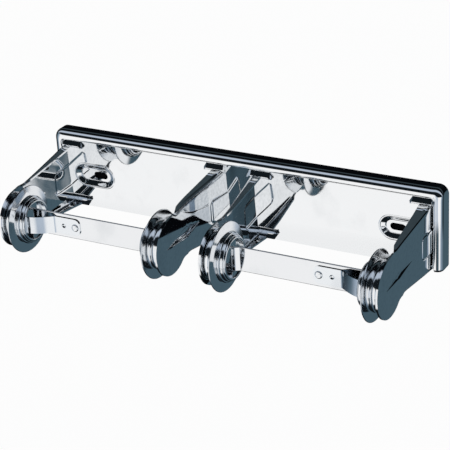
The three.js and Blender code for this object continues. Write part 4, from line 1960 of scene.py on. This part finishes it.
@dataclass(frozen=True)
class Bands:
    """Colours round the object by angle in degrees, with 0 straight in front of the plate."""

    stops: tuple[tuple[float, Colour], ...]

    def wire(self, bench: NodeBench, turn: bpy.types.NodeSocket) -> bpy.types.NodeSocket:
        """Adds the bands to a tree.

        Args:
            bench: The tree being wired.
            turn: The angle, in radians from -pi to pi.

        Returns:
            The colour at that angle.
        """
        node = bench.add("ShaderNodeValToRGB")
        bench.wire(bench.math("MULTIPLY_ADD", turn, 0.5 / math.pi, 0.5), node.inputs[0])
        points = node.color_ramp.elements
        while len(points) < len(self.stops):
            points.new(0.5)
        for point, (angle, _) in zip(points, self.stops):
            point.position = angle / 360 + 0.5
        for point, (_, colour) in zip(points, self.stops):
            point.color = (*colour, 1.0)
        return node.outputs["Color"]


CARD = (1.0, 1.0, 1.0)
PALE = (0.5, 0.57, 0.66)
STRIP = (0.5, 0.57, 0.67)
HAZE = (0.3, 0.38, 0.48)
SLATE = (0.064, 0.108, 0.138)
DUSK = (0.04, 0.056, 0.066)
DARK = (0.007, 0.01, 0.013)
NIGHT = (0.002, 0.0025, 0.0035)
OVERHEAD = Bands((
    (-180, NIGHT), (-90, DARK), (52, DARK), (60, STRIP), (80, STRIP), (90, NIGHT), (120, NIGHT),
    (129, DUSK), (141, DUSK), (148, NIGHT), (180, NIGHT)))
LEVEL = Bands((
    (-180, NIGHT), (-114, NIGHT), (-100, DARK), (-78, SLATE), (-60, HAZE), (-44, CARD),
    (-2, CARD), (8, PALE), (22, PALE), (29, CARD), (60, CARD), (74, HAZE), (90, SLATE),
    (104, DARK), (122, SLATE), (176, SLATE), (180, NIGHT)))
BELOW = Bands((
    (-180, NIGHT), (-112, NIGHT), (-80, HAZE), (-50, CARD), (-4, CARD), (3, SLATE), (8, DARK),
    (13, DARK), (20, SLATE), (35, SLATE), (41, CARD), (56, CARD), (66, HAZE), (110, SLATE),
    (176, SLATE), (180, NIGHT)))


@dataclass
class Studio:
    """The camera, the white set and the soft light round the object."""

    eye: Point = (556.4, -995.3, 504.1)
    azimuth: float = 30.071
    elevation: float = 24.966
    roll: float = -3.429
    focal_px: float = 1627.0
    frame_px: float = 450.0
    sensor_mm: float = 36.0
    clip_m: Flat = (0.01, 50.0)
    level_limits: Flat = (-0.45, -0.49)
    below_limits: Flat = (-0.76, -0.84)
    over_limits: Flat = (0.22, 0.3)
    side_limits: Flat = (0.0, 0.3)
    side_rise: float = 0.2
    backdrop: Colour = (1.0, 1.0, 1.0)
    soft_light: Colour = (0.9, 0.9, 0.9)
    floor_z: float = -420.0
    floor_wide: float = 6000.0
    floor_thick: float = 20.0
    floor_grey: float = 0.92
    floor_glow: float = 0.9
    patch_length: float = 42.0
    # Painted shade: dark patches behind the screw slots that stand in for the shade seen through
    # them.
    patch_height: float = 22.0
    patch_behind: float = 0.5
    patch_colour: Colour = (0.012, 0.012, 0.014)

    def camera(self) -> None:
        """Sets the camera where the photograph was taken from."""
        turn, rise, lean = (math.radians(a) for a in (self.azimuth, self.elevation, self.roll))
        back = Vector((math.sin(turn) * math.cos(rise), -math.cos(turn) * math.cos(rise),
                       math.sin(rise)))
        level = Vector((math.cos(turn), math.sin(turn), 0.0))
        upright = back.cross(level)
        right = math.cos(lean) * level + math.sin(lean) * upright
        up = -math.sin(lean) * level + math.cos(lean) * upright
        lens = bpy.data.cameras.new("camera")
        lens.sensor_width = self.sensor_mm
        lens.lens = self.focal_px * self.sensor_mm / self.frame_px
        lens.clip_start, lens.clip_end = self.clip_m
        camera = bpy.data.objects.new("camera", lens)
        bpy.context.scene.collection.objects.link(camera)
        axes = Matrix((right, up, back)).transposed().to_4x4()
        camera.matrix_world = Matrix.Translation(Vector(self.eye) * MM) @ axes
        bpy.context.scene.camera = camera

    def world(self) -> None:
        """Wires the surroundings: white to the eye, and bands of light for the chrome to mirror."""
        world = bpy.data.worlds.new("studio")
        bpy.context.scene.world = world
        bench = NodeBench.cleared(world)
        way = bench.add("ShaderNodeTexCoord").outputs["Generated"]
        part = bench.add("ShaderNodeSeparateXYZ")
        bench.wire(way, part.inputs[0])
        x, y, z = (part.outputs[i] for i in range(3))
        ahead = bench.math("MULTIPLY", y, -1.0)
        over = OVERHEAD.wire(bench, bench.math("ARCTAN2", z, ahead))
        around = bench.math("ARCTAN2", x, ahead)
        level, below = LEVEL.wire(bench, around), BELOW.wire(bench, around)
        mirrored = bench.blend(bench.ramp(z, *self.level_limits), level, below)
        mirrored = bench.blend(bench.ramp(z, *self.below_limits), mirrored, DARK)
        raised = bench.ramp(x, *self.side_limits, to=(0.0, self.side_rise))
        edge = bench.math("ADD", z, raised)
        mirrored = bench.blend(bench.ramp(edge, *self.over_limits), mirrored, over)
        path = bench.add("ShaderNodeLightPath")
        lit = bench.blend(path.outputs["Is Diffuse Ray"], mirrored, self.soft_light)
        seen = bench.blend(path.outputs["Is Camera Ray"], lit, self.backdrop)
        sky = bench.add("ShaderNodeBackground")
        bench.wire(seen, sky.inputs["Color"])
        out = bench.add("ShaderNodeOutputWorld")
        bench.wire(sky.outputs["Background"], out.inputs["Surface"])

    def floor(self) -> None:
        """Lays the pale floor, well below the wall unit."""
        skin = Skin()
        wide, grey = self.floor_wide, self.floor_grey
        skin.slab([(-wide, -wide), (wide, -wide), (wide, wide), (-wide, wide)],
                  lambda p, face: (p[0], p[1], self.floor_z - self.floor_thick * face))
        floor = skin.object("floor")
        made = bpy.data.materials.new("pale_floor")
        bench = NodeBench.cleared(made)
        matt = bench.add("ShaderNodeBsdfDiffuse", {"Color": (grey, grey, grey, 1.0)})
        glow = bench.add("ShaderNodeEmission", {"Strength": 1.0})
        seen = bench.add("ShaderNodeLightPath").outputs["Is Camera Ray"]
        bench.surface(bench.math("MULTIPLY", seen, self.floor_glow), matt, glow)
        floor.data.materials.append(made)
        floor.visible_glossy = False

    def slot_backs(self, plate: BackPlate) -> None:
        """Puts painted shade behind each screw slot: a dark patch, seen only from the front, that
        stands in for the shade seen through the slot.

        Args:
            plate: The plate whose slots get the painted shade.
        """
        made = bpy.data.materials.new("dark_wall")
        bench = NodeBench.cleared(made)
        matt = bench.add("ShaderNodeBsdfDiffuse", {"Color": (*self.patch_colour, 1.0)})
        clear = bench.add("ShaderNodeBsdfTransparent")
        behind = bench.add("ShaderNodeNewGeometry").outputs["Backfacing"]
        bench.surface(behind, matt, clear)
        skin = Skin()
        for way in (-1, 1):
            outline = stadium((way * plate.dish_x, plate.dish_z), self.patch_length,
                              self.patch_height)
            skin.fill(skin.row((x, self.patch_behind, z) for x, z in outline))
        patch = skin.object("slot_backs", facing=FORWARD)
        patch.data.materials.append(made)

    def build(self, plate: BackPlate) -> None:
        """Sets the view transform, the camera and the set.

        Args:
            plate: The plate whose slots get the painted shade.
        """
        bpy.context.scene.view_settings.view_transform = "Standard"
        self.camera()
        self.world()
        self.floor()
        # Painted shade in the screw slots, a dark patch behind each.
        self.slot_backs(plate)


def dress_hidden_steel() -> None:
    """Gives the studs and washers inside the drums their bare steel."""
    for name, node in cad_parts.items():
        if name.endswith(("hub_stud", "hub_washer")):
            RIVET_STEEL.dress(node)
            log.info("%s keeps its solid", name)


def main() -> None:
    """Builds the dispenser piece by piece and dresses it."""
    logging.basicConfig(level=logging.INFO, format="%(name)s: %(message)s")
    plate = BackPlate()
    Studio().build(plate)
    plate.dress(plate.build())
    lathe = Lathe()
    arms, bars = [], []
    for bay in Bay:
        bar = RollBar(bay)
        for place in Place:
            arm = Arm(bay, place)
            arm.dress(arm.build())
            arms.append(arm)
            spool = Spool(bay, place, lathe)
            spool.dress(spool.spacer(), spool.hub(bar.groove(place), bar.mouth - spool.rest_short))
        bar.dress(bar.bar(), bar.leaf())
        bars.append(bar)
    Rivets(RivetSetter(lathe)).build(arms, bars)
    dress_hidden_steel()


if __name__ == "__main__":
    main()
